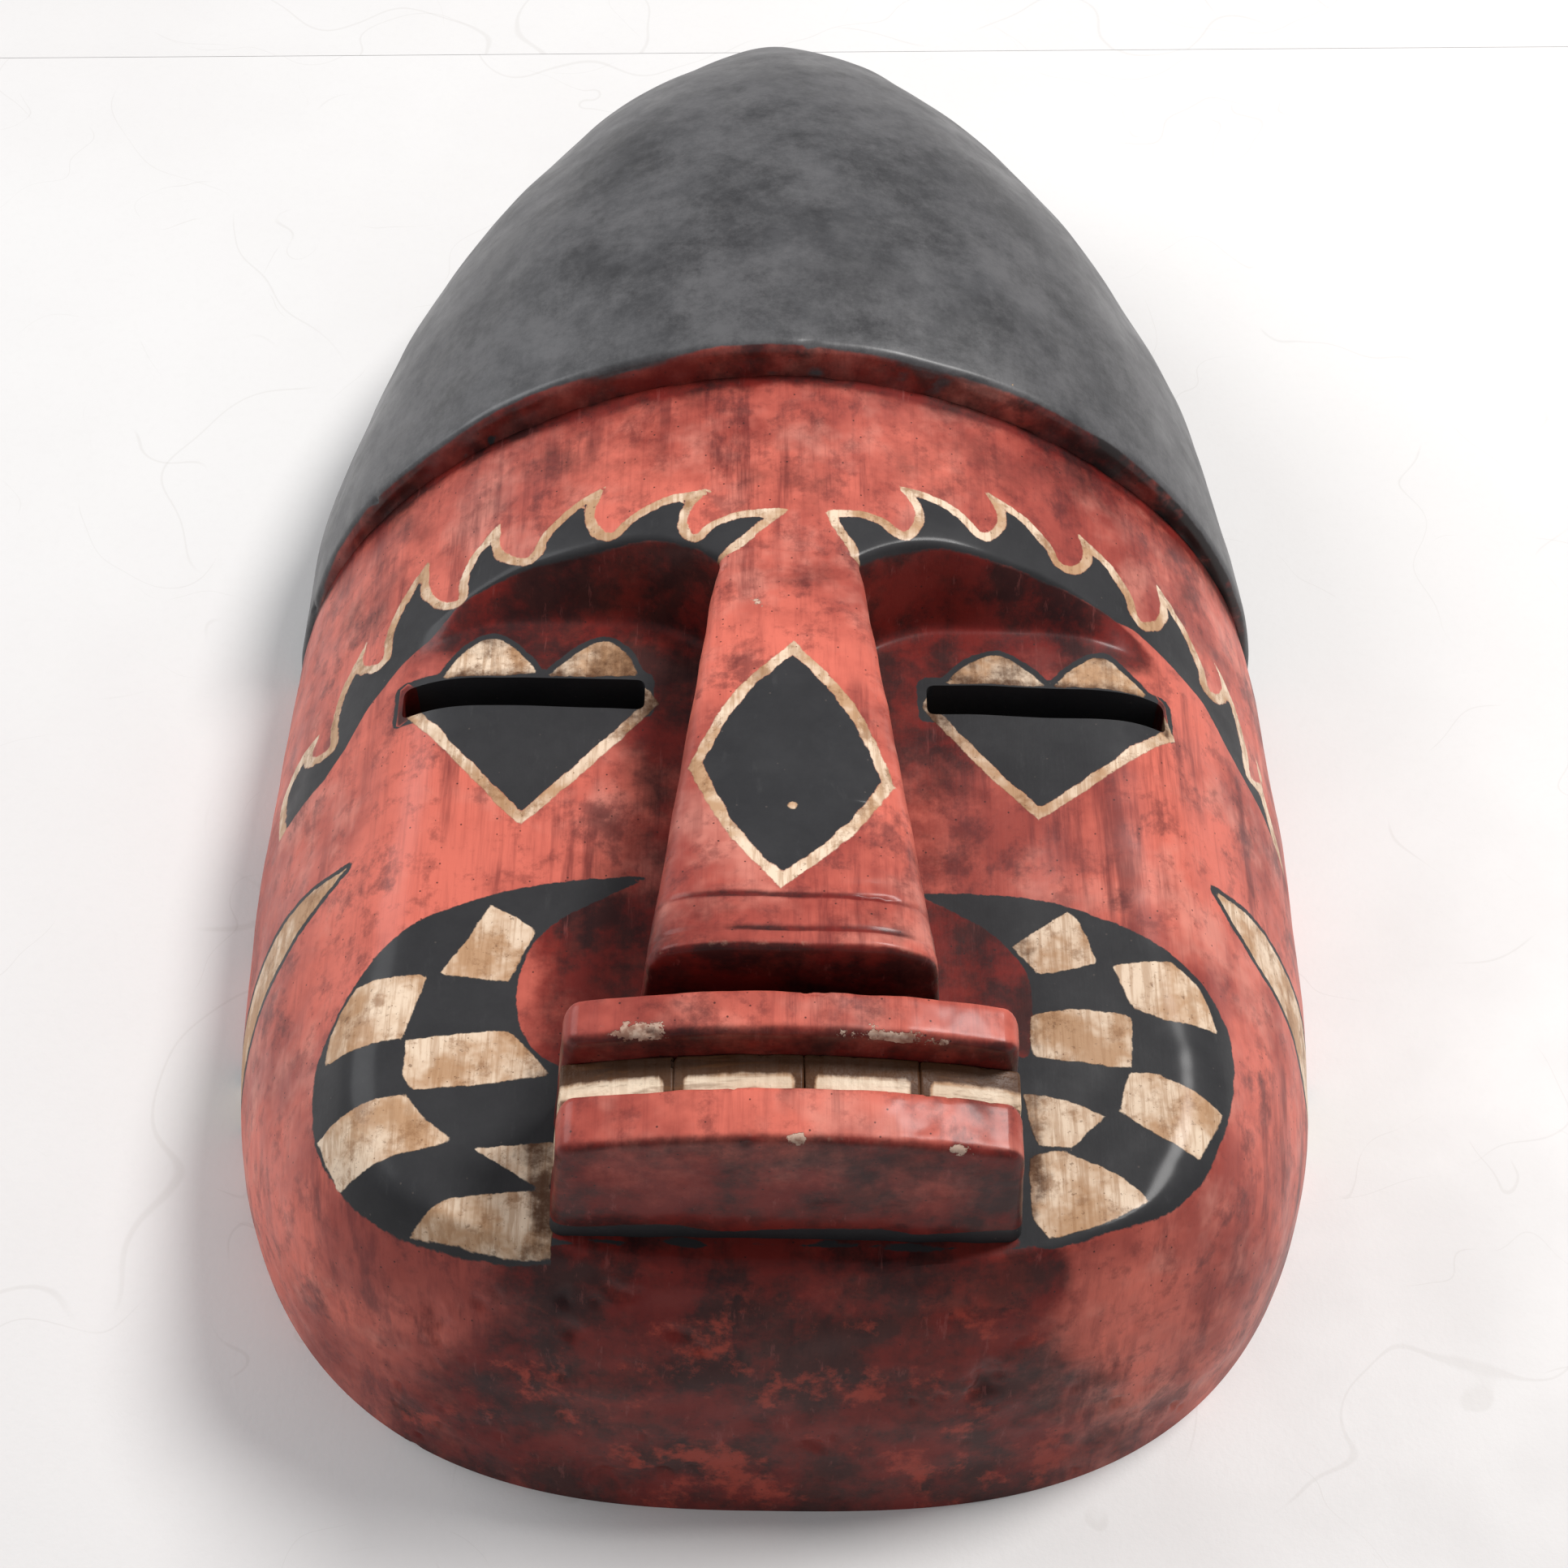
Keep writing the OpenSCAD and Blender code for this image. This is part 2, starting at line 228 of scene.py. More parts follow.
def column_grid(columns, knots, rows, width, chin, height):
    """Rows evenly spaced along the surface between the knots of each column."""
    grid = []
    for index, a in enumerate(columns):
        line = []
        for part, count in enumerate(rows):
            last = part == len(rows) - 1
            s0, s1 = knots[part][index], knots[part + 1][index]
            u = np.linspace(0, 1, 700)
            if last:
                u = 1 - (1 - u) ** 4
            s = s0 + (s1 - s0) * u
            x = column_x(a, s, width(s), chin)
            z = height(x, s)
            if abs(a) == 1:
                z = z * 0
            if last:
                z[-1] = 0
            points = np.stack([x, s + rake(s) * z, z], 1)
            run = run_length(points)
            wanted = np.linspace(0, run[-1], count + 1)[(1 if part else 0):]
            line.append(np.stack([np.interp(wanted, run, points[:, k]) for k in range(3)], 1))
        grid.append(np.concatenate(line))
    return np.stack(grid, 1)


def grid_normals(grid, outward):
    across = np.gradient(grid, axis=1)
    along = np.gradient(grid, axis=0)
    normal = np.cross(across, along)
    normal /= np.maximum(np.linalg.norm(normal, axis=2, keepdims=True), 1e-9)
    middle = normal[normal.shape[0] // 2, normal.shape[1] // 2]
    return normal if np.dot(middle, outward) > 0 else -normal


# ---------------------------------------------------------------- meshes
def grid_faces(rows, cols, first, closed=False):
    i, j = np.meshgrid(np.arange(rows - 1), np.arange(cols if closed else cols - 1), indexing="ij")
    a = i * cols + j
    b = i * cols + (j + 1) % cols
    return (first + np.stack([a, b, b + cols, a + cols], -1).reshape(-1, 4)).tolist()


def zip_faces(ids_a, points_a, ids_b, points_b):
    """A strip of triangles between two open lines of points."""
    a, b = (run / run[-1] for run in (run_length(points_a), run_length(points_b)))
    i = j = 0
    faces = []
    while i < len(a) - 1 or j < len(b) - 1:
        if j == len(b) - 1 or (i < len(a) - 1 and a[i + 1] <= b[j + 1]):
            faces.append([ids_a[i], ids_a[i + 1], ids_b[j]])
            i += 1
        else:
            faces.append([ids_a[i], ids_b[j + 1], ids_b[j]])
            j += 1
    return faces


def outline_ids(rows, cols, first):
    """The two sides and the last row of a grid, from one end of its first row to the other."""
    left = [first + i * cols for i in range(rows)]
    last = [first + (rows - 1) * cols + j for j in range(1, cols)]
    right = [first + i * cols + cols - 1 for i in range(rows - 2, -1, -1)]
    return left + last + right


def shell(name, outer, inner, material_list):
    """A hollow shell: an outer grid and an inner grid, closed along the join and along the back."""
    points = np.concatenate([outer.reshape(-1, 3), inner.reshape(-1, 3)])
    split = outer.shape[0] * outer.shape[1]
    faces = grid_faces(outer.shape[0], outer.shape[1], 0)
    painted = len(faces)
    faces += grid_faces(inner.shape[0], inner.shape[1], split)
    arch_a = list(range(outer.shape[1]))
    arch_b = [split + j for j in range(inner.shape[1])]
    faces += zip_faces(arch_a, points[arch_a], arch_b, points[arch_b])
    rim_a = outline_ids(outer.shape[0], outer.shape[1], 0)
    rim_b = outline_ids(inner.shape[0], inner.shape[1], split)
    faces += zip_faces(rim_a, points[rim_a], rim_b, points[rim_b])
    slots = [0] * painted + [1] * (len(faces) - painted)
    return solid(name, points, faces, material_list, slots)


def solid(name, points, faces, material_list, slots=None):
    mesh = bpy.data.meshes.new(name)
    mesh.from_pydata(((points + [0, JOIN_Y, 0]) * MM).tolist(), [], faces)
    for material in material_list:
        mesh.materials.append(material)
    if slots is not None:
        mesh.polygons.foreach_set("material_index", slots)
    tidy(mesh)
    piece = bpy.data.objects.new(name, mesh)
    bpy.context.scene.collection.objects.link(piece)
    return piece


def tidy(mesh):
    work = bmesh.new()
    work.from_mesh(mesh)
    bmesh.ops.remove_doubles(work, verts=work.verts, dist=2e-6)
    bmesh.ops.dissolve_degenerate(work, edges=work.edges, dist=1e-6)
    bmesh.ops.recalc_face_normals(work, faces=work.faces)
    work.to_mesh(mesh)
    work.free()


def shade(piece, sharp_deg):
    mesh = piece.data
    mesh.polygons.foreach_set("use_smooth", [True] * len(mesh.polygons))
    mesh.set_sharp_from_angle(angle=math.radians(sharp_deg))


def cut(piece, cutter):
    tool = piece.modifiers.new("cut", "BOOLEAN")
    tool.operation = "DIFFERENCE"
    tool.solver = "EXACT"
    tool.object = cutter
    bpy.context.view_layer.update()
    result = bpy.data.meshes.new_from_object(piece.evaluated_get(bpy.context.evaluated_depsgraph_get()))
    piece.modifiers.clear()
    old = piece.data
    piece.data = result
    bpy.data.meshes.remove(old)
    bpy.data.objects.remove(cutter)


def rounded_loop(corners, radii, steps, per_corner=8):
    """A closed loop with rounded corners, and steps[k] steps along the side after corner k."""
    corners = np.asarray(corners, float)
    count = len(corners)
    loop = []
    edge_mark = []
    for k in range(count):
        before, here, after = corners[k - 1], corners[k], corners[(k + 1) % count]
        start = here + (before - here) * min(0.45, radii[k] / np.linalg.norm(before - here))
        stop = here + (after - here) * min(0.45, radii[k] / np.linalg.norm(after - here))
        for t in np.linspace(0, 1, per_corner):
            loop.append((1 - t) ** 2 * start + 2 * t * (1 - t) * here + t * t * stop)
            edge_mark.append(math.sin(math.pi * t))
        next_radius = radii[(k + 1) % count]
        gap = np.linalg.norm(after - here)
        next_start = after + (here - after) * min(0.45, next_radius / gap)
        for t in np.linspace(0, 1, steps[k] + 1)[1:-1]:
            loop.append(stop + (next_start - stop) * t)
            edge_mark.append(0)
    return np.array(loop), np.array(edge_mark)


def bar(name, section, stations, end_round, place, material_list, roughness, seed):
    """A carved bar: sections along an axis, rounded at both ends and a little uneven all over."""
    turn = np.linspace(0, math.pi / 2, 6)
    runs = [(stations[0] + end_round * (1 - math.sin(f)), end_round * (1 - math.cos(f))) for f in turn[::-1]]
    runs += [(u, 0) for u in stations if stations[0] + end_round < u < stations[-1] - end_round]
    runs += [(stations[-1] - end_round * (1 - math.sin(f)), end_round * (1 - math.cos(f))) for f in turn]
    rings = []
    marks = []
    for number, (u, inset) in enumerate(runs):
        loop, mark = section(u)
        middle = (loop.min(0) + loop.max(0)) / 2
        half = (loop.max(0) - loop.min(0)) / 2
        ring = middle + (loop - middle) * (half - inset) / half
        if number == 0:
            inward = [(middle + (ring - middle) * k / 9) for k in range(1, 9)]
            rings += [place(u, r) for r in inward]
            marks += [mark * 0] * 8
        rings.append(place(u, ring))
        at_end = min(number, len(runs) - 1 - number)
        marks.append(np.maximum(mark, 1 if 1 <= at_end <= 4 else 0))
        if number == len(runs) - 1:
            inward = [(middle + (ring - middle) * k / 9) for k in range(8, 0, -1)]
            rings += [place(u, r) for r in inward]
            marks += [mark * 0] * 8
    rings = np.array(rings)
    marks = np.array(marks)
    dents = waves(rings, 2.6, seed) * waves(rings, 11, seed + 1)
    hollow = np.clip(dents - 0.7, 0, 1.5) * marks
    normal = ring_normals(rings)
    unevenness = waves(rings, 11, seed + 2) + 0.2 * waves(rings, 3.2, seed + 3)
    shift = roughness * unevenness - 0.5 * hollow
    rings = rings + normal * shift[..., None]
    rows, cols = rings.shape[:2]
    faces = grid_faces(rows, cols, 0, closed=True)
    faces.append(list(range(cols))[::-1])
    faces.append([(rows - 1) * cols + j for j in range(cols)])
    return solid(name, rings.reshape(-1, 3), faces, material_list)


def ring_normals(rings):
    across = np.roll(rings, -1, axis=1) - np.roll(rings, 1, axis=1)
    along = np.gradient(rings, axis=0)
    normal = np.cross(across, along)
    normal /= np.maximum(np.linalg.norm(normal, axis=2, keepdims=True), 1e-9)
    middle = rings.reshape(-1, 3).mean(0)
    facing = np.sum(normal * (rings - middle), axis=2).mean()
    return normal if facing > 0 else -normal


# ---------------------------------------------------------------- painted outlines, in mm
# The points in the tables below were read off the photograph by eye, then carried onto the mask's
# surface by a separate program that knows the camera, and some were moved by hand afterwards.
def curve(points, steps=7):
    """A smooth line through points; its ends are corners."""
    points = np.asarray(points, float)
    if len(points) < 3:
        return points
    padded = np.vstack([2 * points[0] - points[1], points, 2 * points[-1] - points[-2]])
    line = []
    for k in range(len(points) - 1):
        p0, p1, p2, p3 = padded[k:k + 4]
        for t in np.linspace(0, 1, steps, endpoint=False):
            line.append(0.5 * (2 * p1 + (p2 - p0) * t + (2 * p0 - 5 * p1 + 4 * p2 - p3) * t * t
                               + (3 * p1 - p0 - 3 * p2 + p3) * t ** 3))
    line.append(points[-1])
    return np.array(line)


def bowed(points, bow):
    """A closed shape whose sides bulge outwards by bow times their length."""
    points = np.asarray(points, float)
    middle = points.mean(0)
    loop = []
    for k, here in enumerate(points):
        after = points[(k + 1) % len(points)]
        side = (here + after) / 2
        out = np.array([after[1] - here[1], here[0] - after[0]])
        if np.dot(out, side - middle) < 0:
            out = -out
        loop.append(curve([here, side + out * bow, after], 6)[:-1])
    return np.concatenate(loop)


def signed_distance(points, loop):
    """Distance from each point to a closed outline, negative inside it."""
    result = np.full(len(points), FAR)
    low, high = loop.min(0) - 6, loop.max(0) + 6
    near = np.nonzero(np.all((points > low) & (points < high), axis=1))[0]
    p = points[near]
    best = np.full(len(p), FAR ** 2)
    inside = np.zeros(len(p), bool)
    for a, b in zip(loop, np.roll(loop, -1, axis=0)):
        edge = b - a
        if np.dot(edge, edge) < 1e-9:
            continue
        t = np.clip(((p - a) @ edge) / np.dot(edge, edge), 0, 1)
        best = np.minimum(best, np.sum((p - a - t[:, None] * edge) ** 2, axis=1))
        crosses = (a[1] > p[:, 1]) != (b[1] > p[:, 1])
        if a[1] != b[1]:
            at_x = (b[0] - a[0]) * (p[:, 1] - a[1]) / (b[1] - a[1]) + a[0]
            inside ^= crosses & (p[:, 0] < at_x)
    result[near] = np.where(inside, -np.sqrt(best), np.sqrt(best))
    return result


def nearest(points, loops):
    result = np.full(len(points), FAR)
    for loop in loops:
        result = np.minimum(result, signed_distance(points, loop))
    return result


def flame_line(start, tips, valleys, side):
    """Upper edge of an eyebrow: each flame has a long bulging side and a short hooked one."""
    line = [curve([start, (np.add(start, tips[0]) / 2 + [-0.8 * side, 1.0]), tips[0]])]
    for tip, valley, following in zip(tips, valleys, tips[1:]):
        tip, valley, following = map(np.array, (tip, valley, following))
        down = valley - tip
        outwards = np.array([-down[1], down[0]]) * side
        outwards = outwards / np.linalg.norm(outwards)
        up = following - valley
        away = np.array([-up[1], up[0]]) * side
        away = away / np.linalg.norm(away)
        line.append(curve([tip, tip + down * 0.25 + outwards * 1.5, tip + down * 0.5 + outwards * 2.3,
                           tip + down * 0.8 + outwards * 1.6, valley, valley + up * 0.2 - away * 2.2,
                           valley + up * 0.55 - away * 2.7, following], 5))
    return np.concatenate(line)


BROWS = {
    -1: dict(start=(-11.8, -32.1),
             tips=[(0, -19.7), (-13.2, -13.9), (-33.4, -9.5), (-53.5, -11.3), (-67.1, -13), (-78.7, -23.8),
                   (-87.5, -39.5)],
             valleys=[(-17, -25), (-32, -21.5), (-47, -22.3), (-60.5, -26.5), (-75, -32), (-84.5, -45)],
             end=[(-91.5, -41), (-95.5, -46), (-95.5, -52.5)],
             lower=[(-63, -31.5), (-71, -36.5), (-77, -42.5), (-81, -48.5), (-85, -52), (-96, -56)]),
    1: dict(start=(10.8, -28.8),
            tips=[(6.3, -19.7), (19.7, -11.2), (36.5, -8.3), (54.7, -10.5), (70.8, -12.8), (83, -20),
                  (92.5, -33)],
            valleys=[(20.5, -22.6), (35.1, -19.1), (50.8, -19.7), (66.3, -25), (81, -31), (90, -42)],
            end=[(94, -44), (97.5, -56)],
            lower=[(63, -27.5), (71, -31), (79, -35.5), (84, -41.5), (91, -48), (98, -57)]),
}
LIDS = [
    [(-62.9, -43.6), (-59, -37.5), (-53.6, -34.1), (-49, -37), (-44.9, -42.2)],
    [(-43.4, -43), (-38, -37.2), (-33.1, -34.6), (-29, -37.5), (-26.8, -42.4)],
    [(28.3, -43.4), (33, -38.6), (39, -36.3), (44, -39.4), (47.5, -43)],
    [(48.6, -43), (53, -38.4), (58.4, -35.8), (63, -39.4), (67.3, -43.6)],
]
TRIANGLES = [
    [(-67, -45), (-69, -49), (-46.5, -75), (-23, -48.5), (-25, -45)],
    [(26, -45), (24.5, -48.5), (44.5, -72), (71.5, -50), (69, -45)],
]
DIAMOND = [(0.5, -53.5), (-17, -82.8), (-2, -111), (17, -86.6)]
NOSE_DOT = (0, -93)
CRESCENTS = [
    [[(-23, -85), (-35, -86), (-47, -88), (-57, -91.5), (-64.5, -95.5), (-70.5, -101.5), (-75, -108.5),
      (-78.5, -117), (-78.5, -126), (-77, -133), (-73, -140), (-68, -145.5), (-61, -150), (-53, -153),
      (-44.5, -155), (-37, -155.8)],
     [(-37, -122), (-41, -119.5), (-44, -114.5), (-45, -109.5), (-44.5, -103), (-42, -97.5), (-38, -93.5),
      (-32, -90), (-23, -85)]],
    [[(22, -87.4), (33.5, -87.5), (44.5, -88.5), (53, -91), (60.5, -94.5), (67, -99), (72.5, -104.5),
      (75.7, -111.5), (75.5, -120), (73, -129), (69, -138), (64.5, -143.5), (59, -147), (50.5, -150.5),
      (42.5, -153), (37, -152)],
     [(37, -118), (40.5, -118), (41.5, -106.5), (40, -101), (36.5, -96.5), (31.5, -92.5), (22, -87.4)]],
]
CRESCENT_TEETH = [
    [(-50.5, -91), (-42.3, -96), (-44.6, -101), (-46.5, -106), (-58, -104.7), (-54, -98)],
    [(-72.5, -105.5), (-60.3, -105), (-62, -111.5), (-63.5, -117), (-77, -118.7), (-76.3, -112.5)],
    [(-62.6, -117.5), (-46, -115.3), (-38.7, -123.5), (-61, -126.5), (-62.8, -124)],
    [(-62, -127.5), (-58.5, -132), (-53.7, -135.5), (-64, -138.5), (-72.5, -141), (-77, -131.5),
     (-70.5, -129)],
    [(-50, -137), (-37, -135.5), (-38, -145.5), (-41, -142.5)],
    [(-60, -150), (-53.5, -145.7), (-37, -144), (-37, -155.3), (-44.5, -154.3), (-51.7, -152.2)],
    [(48.5, -90.6), (50.2, -92), (53, -100.5), (42.8, -103), (38.6, -97.5)],
    [(55.6, -101), (65.5, -99.8), (70.5, -104), (73.3, -112), (64.5, -111.5), (58.5, -109)],
    [(41, -111), (47.5, -109.5), (58, -110.5), (57.5, -120.3), (50, -119.5), (41, -118.5)],
    [(57, -121), (61.7, -121.5), (72.6, -127.3), (67.5, -136.5), (62, -133.3), (55, -128.3)],
    [(39, -125.5), (46, -126.5), (52.6, -129.4), (49.3, -132.2), (46.6, -135.2), (41, -134.7)],
    [(39.5, -137), (44.8, -135.7), (54.2, -140.2), (58.5, -144.5), (50.5, -149), (42, -151.5), (39.5, -148)],
]
LEAVES = [
    [(-77.5, -77.5), (-86, -84.5), (-93.5, -92.5), (-99.5, -103), (-100.8, -96), (-97.5, -86), (-89, -78.5)],
    [(76.5, -80), (84, -88.5), (92.5, -96), (99.3, -106), (101, -97), (97.5, -87), (88, -80)],
]


def brow_loops(side):
    """The eyebrow's flame edge, closed well below its lower edge, and that lower edge."""
    brow = BROWS[side]
    edge = np.concatenate([flame_line(brow["start"], brow["tips"], brow["valleys"], side),
                           curve([brow["tips"][-1]] + brow["end"])])
    below = [(edge[-1][0] - 3 * side, edge[-1][1] - 14), (brow["start"][0] + 12 * side, -58),
             (brow["start"][0], -46)]
    return np.vstack([edge, below]), np.array(brow["lower"])


def brow_distances(points, arris):
    """Distances to the eyebrows' flame edge, and to their lower edge, which leaves the arris outwards."""
    x, y = points[:, :2].T
    flame = np.full(len(points), FAR)
    lower = arris - 0.3
    for side in (-1, 1):
        loop, low_edge = brow_loops(side)
        flame = np.minimum(flame, signed_distance(points[:, :2], loop))
        order = np.argsort(low_edge[:, 0])
        painted = (np.interp(x, low_edge[order, 0], low_edge[order, 1]) - y) * 0.85
        outer = ease(60, 66, np.abs(x)) * (x < 0 if side < 0 else x >= 0)
        lower = lower * (1 - outer) + painted * outer
    return flame, lower


def slot_distance(x, y):
    """Distance to the nearer eye slot, negative inside it."""
    from_middle = np.stack([np.abs(x) - sum(SLOT_X) / 2, y - SLOT_Y], 1)
    half = np.array([(SLOT_X[1] - SLOT_X[0]) / 2, SLOT_W / 2])
    beyond = np.abs(from_middle) - half
    return np.linalg.norm(np.maximum(beyond, 0), axis=1) + np.minimum(beyond.max(1), 0)


def face_wear_and_shade(points, s, arris, slot, in_slot, mouth_gap):
    """How dark the face is: painted shade in corners, darker paint on the chin; the chin's edge scuffed, with
    a painted highlight.
    """
    x, y, z = points.T
    along_nose = np.clip((NOSE_Y[0] - y) / (NOSE_Y[0] - NOSE_Y[1]), 0, 1)
    from_nose = np.maximum(0, np.abs(x) - between(NOSE_HALF_W, along_nose))
    # Darker paint beside the nose and in the pockets inside the cheek crescents
    by_nose = bell(from_nose, 17) * ease(-28, -34, y)
    pocket = ease(46, 40, np.abs(x)) * ease(-86, -92, y) * ease(-150, -140, y)
    # Painted shade on the brow wall and over the top of the eye sockets below it
    wall = ease(-0.3, 0.6, arris) * ease(9, 2.5, arris) * ease(74, 58, np.abs(x))
    socket = ease(0, 2, arris) * ease(-66, -46, y) * ease(76, 56, np.abs(x))
    # Painted shade on the face round the foot of the mouth block
    mouth = bell(np.maximum(0, mouth_gap), 2.6)
    # Painted light from the right: the chin's darker paint fades to the right and deepens at the far left
    darker_left = 1 - 0.5 * ease(30, 75, x) + 0.15 * ease(-30, -70, x)
    chin = ease(CHIN_EDGE_Y - 1, CHIN_EDGE_Y - 6, y) * darker_left
    join = bell(s, 2.5) * ease(4, 14, z)
    shelf = bell(y - CHIN_EDGE_Y - 1, 3.5) * ease(52, 40, np.abs(x))
    # dark: painted shade from wall, socket, mouth and the slots; darker paint and a dark line at the cap's
    # join from the rest
    dark = 0.85 * wall + 0.6 * socket + 0.7 * by_nose + 0.5 * pocket
    dark += 0.95 * mouth + 0.60 * chin + 0.9 * join
    # Painted shade round the eye slots and on their inner walls; a darker strip just above the chin's edge
    dark += 0.6 * bell(np.maximum(0, slot), 1.2) + 0.75 * shelf + 0.9 * in_slot
    dark += 0.30 * ease(-36, -18, s) + 0.04
    # Scuffed paint along the chin's edge, lightened further as a painted highlight
    worn = 0.55 * bell(y - CHIN_EDGE_Y + 1.5, 1.0) * ease(60, 50, np.abs(x)) * (z > 50)
    return dict(dark=np.clip(dark, 0, 1), worn=np.clip(worn, 0, 1), patchy=0.15 + 0.85 * chin)


def face_paint(points):
    """Signed distances in mm to everything painted on the face, its darkness with painted shade, and its
    scuffed, highlit edges.
    """
    x, y, z = points.T
    s = y.copy()
    for _ in range(6):
        s = y - rake(s) * z
    plan = points[:, :2]
    arris = brow_s(x) - s
    slot = slot_distance(x, y)
    in_slot = (slot < 0.8) & (z < EYE_H - 3.5)
    mouth_gap = np.maximum(np.abs(x) - MOUTH_HALF_W, np.maximum(y - UPPER_BACK_Y, LIP_FRONT_Y - y))

    flame, lower = brow_distances(points, arris)
    framed = nearest(plan, [bowed(corners, 0.015) for corners in TRIANGLES])
    lids = nearest(plan, [np.vstack([curve(lid), lid[-1:]]) for lid in LIDS])
    crescents = nearest(plan, [np.vstack([curve(part) for part in parts]) for parts in CRESCENTS])
    leaves = nearest(plan, [curve(leaf + leaf[:1]) for leaf in LEAVES])
    teeth = nearest(plan, [bowed(tooth, 0.015) for tooth in CRESCENT_TEETH])
    # A black line round the mouth block's foot: a dark joint, with painted shade in the corner
    foot = np.maximum(mouth_gap - 0.9, y - LIP_FRONT_Y) + 0.5 * waves(points, 7, 91)
    black = np.minimum.reduce([lids - 1.2, np.where(in_slot, FAR, slot - 1.7), crescents, leaves - 1.1, foot])
    cream = np.maximum(np.minimum.reduce([lids, teeth, leaves]), 0.35 - slot)
    scuffs_and_shade = face_wear_and_shade(points, s, arris, slot, in_slot, mouth_gap)
    return dict(brow_line=flame, lower=lower, framed=framed, black=black, cream=cream, **scuffs_and_shade)


# ---------------------------------------------------------------- materials
class Nodes:
    """Builds one material; a method's result is a node's output that feeds the next."""

    def __init__(self, name):
        self.material = bpy.data.materials.new(name)
        self.material.use_nodes = True
        self.tree = self.material.node_tree
        self.shader = self.tree.nodes["Principled BSDF"]
        self.place = self.tree.nodes.new("ShaderNodeTexCoord").outputs["Object"]

    def feed(self, socket, value):
        if isinstance(value, bpy.types.NodeSocket):
            self.tree.links.new(value, socket)
        elif isinstance(value, tuple) and len(value) == 3 and socket.type == "RGBA":
            socket.default_value = (*value, 1)
        else:
            socket.default_value = value

    def math(self, operation, a, b=0.0):
        node = self.tree.nodes.new("ShaderNodeMath")
        node.operation = operation
        self.feed(node.inputs[0], a)
        self.feed(node.inputs[1], b)
        return node.outputs[0]

    def add(self, a, b):
        return self.math("ADD", a, b)

    def times(self, a, b):
        return self.math("MULTIPLY", a, b)

    def most(self, a, b):
        return self.math("MAXIMUM", a, b)

    def mix(self, share, a, b):
        node = self.tree.nodes.new("ShaderNodeMix")
        node.data_type = "RGBA"
        self.feed(node.inputs["Factor"], share)
        self.feed(node.inputs[6], a)
        self.feed(node.inputs[7], b)
        return node.outputs[2]

    def over(self, colour, share, strength, paint):
        """Lays paint over a colour, as far as share times strength."""
        return self.mix(self.times(share, strength), colour, paint)

    def wobble(self, size, *noise, **more):
        """Noise around zero, size from its lowest to its highest."""
        return self.times(self.add(self.noise(*noise, **more), -0.5), size)

    def inside(self, distance):
        """1 where a signed distance in mm is below zero, with a soft edge."""
        return self.span(distance, EDGE_BLUR, -EDGE_BLUR)

    def blots(self, low, high, *noise, **more):
        """Noise turned into patches: 0 below low and 1 above high."""
        return self.span(self.noise(*noise, **more), low, high)

    def span(self, value, low, high, out_low=0.0, out_high=1.0):
        """0 to 1 as value goes from low to high, eased at both ends."""
        node = self.tree.nodes.new("ShaderNodeMapRange")
        node.interpolation_type = "SMOOTHSTEP"
        self.feed(node.inputs["Value"], value)
        node.inputs["From Min"].default_value = low
        node.inputs["From Max"].default_value = high
        node.inputs["To Min"].default_value = out_low
        node.inputs["To Max"].default_value = out_high
        return node.outputs[0]

    def stretched(self, stretch, turn=0.0, offset=0.0):
        node = self.tree.nodes.new("ShaderNodeMapping")
        self.feed(node.inputs["Vector"], self.place)
        node.inputs["Scale"].default_value = stretch
        node.inputs["Rotation"].default_value = (0, 0, turn)
        node.inputs["Location"].default_value = (offset, offset, offset)
        return node.outputs[0]

    def noise(self, bumps_per_m, detail=3.0, rough=0.55, stretch=(1, 1, 1), turn=0.0, offset=0.0, warp=0.0):
        node = self.tree.nodes.new("ShaderNodeTexNoise")
        self.feed(node.inputs["Vector"], self.stretched(stretch, turn, offset))
        node.inputs["Scale"].default_value = bumps_per_m
        node.inputs["Detail"].default_value = detail
        node.inputs["Roughness"].default_value = rough
        node.inputs["Distortion"].default_value = warp
        return node.outputs["Fac"]

    def specks(self, per_m, size, offset=0.0):
        node = self.tree.nodes.new("ShaderNodeTexVoronoi")
        self.feed(node.inputs["Vector"], self.stretched((1, 1, 1), 0.3, offset))
        node.inputs["Scale"].default_value = per_m
        return self.span(node.outputs["Distance"], size, size * 0.5)

    def attribute(self, name):
        node = self.tree.nodes.new("ShaderNodeAttribute")
        node.attribute_name = name
        return node.outputs["Fac"]

    def finish(self, colour, roughness, height, depth_mm, metal=0.0, coat=0.0, coat_rough=0.2, specular=0.5):
        self.feed(self.shader.inputs["Base Color"], colour)
        self.feed(self.shader.inputs["Roughness"], roughness)
        self.shader.inputs["Metallic"].default_value = metal
        self.shader.inputs["Coat Weight"].default_value = coat
        self.shader.inputs["Coat Roughness"].default_value = coat_rough
        self.shader.inputs["Specular IOR Level"].default_value = specular
        bump = self.tree.nodes.new("ShaderNodeBump")
        bump.inputs["Strength"].default_value = 1.0
        bump.inputs["Distance"].default_value = depth_mm * MM
        self.feed(bump.inputs["Height"], height)
        self.tree.links.new(bump.outputs[0], self.shader.inputs["Normal"])
        return self.material


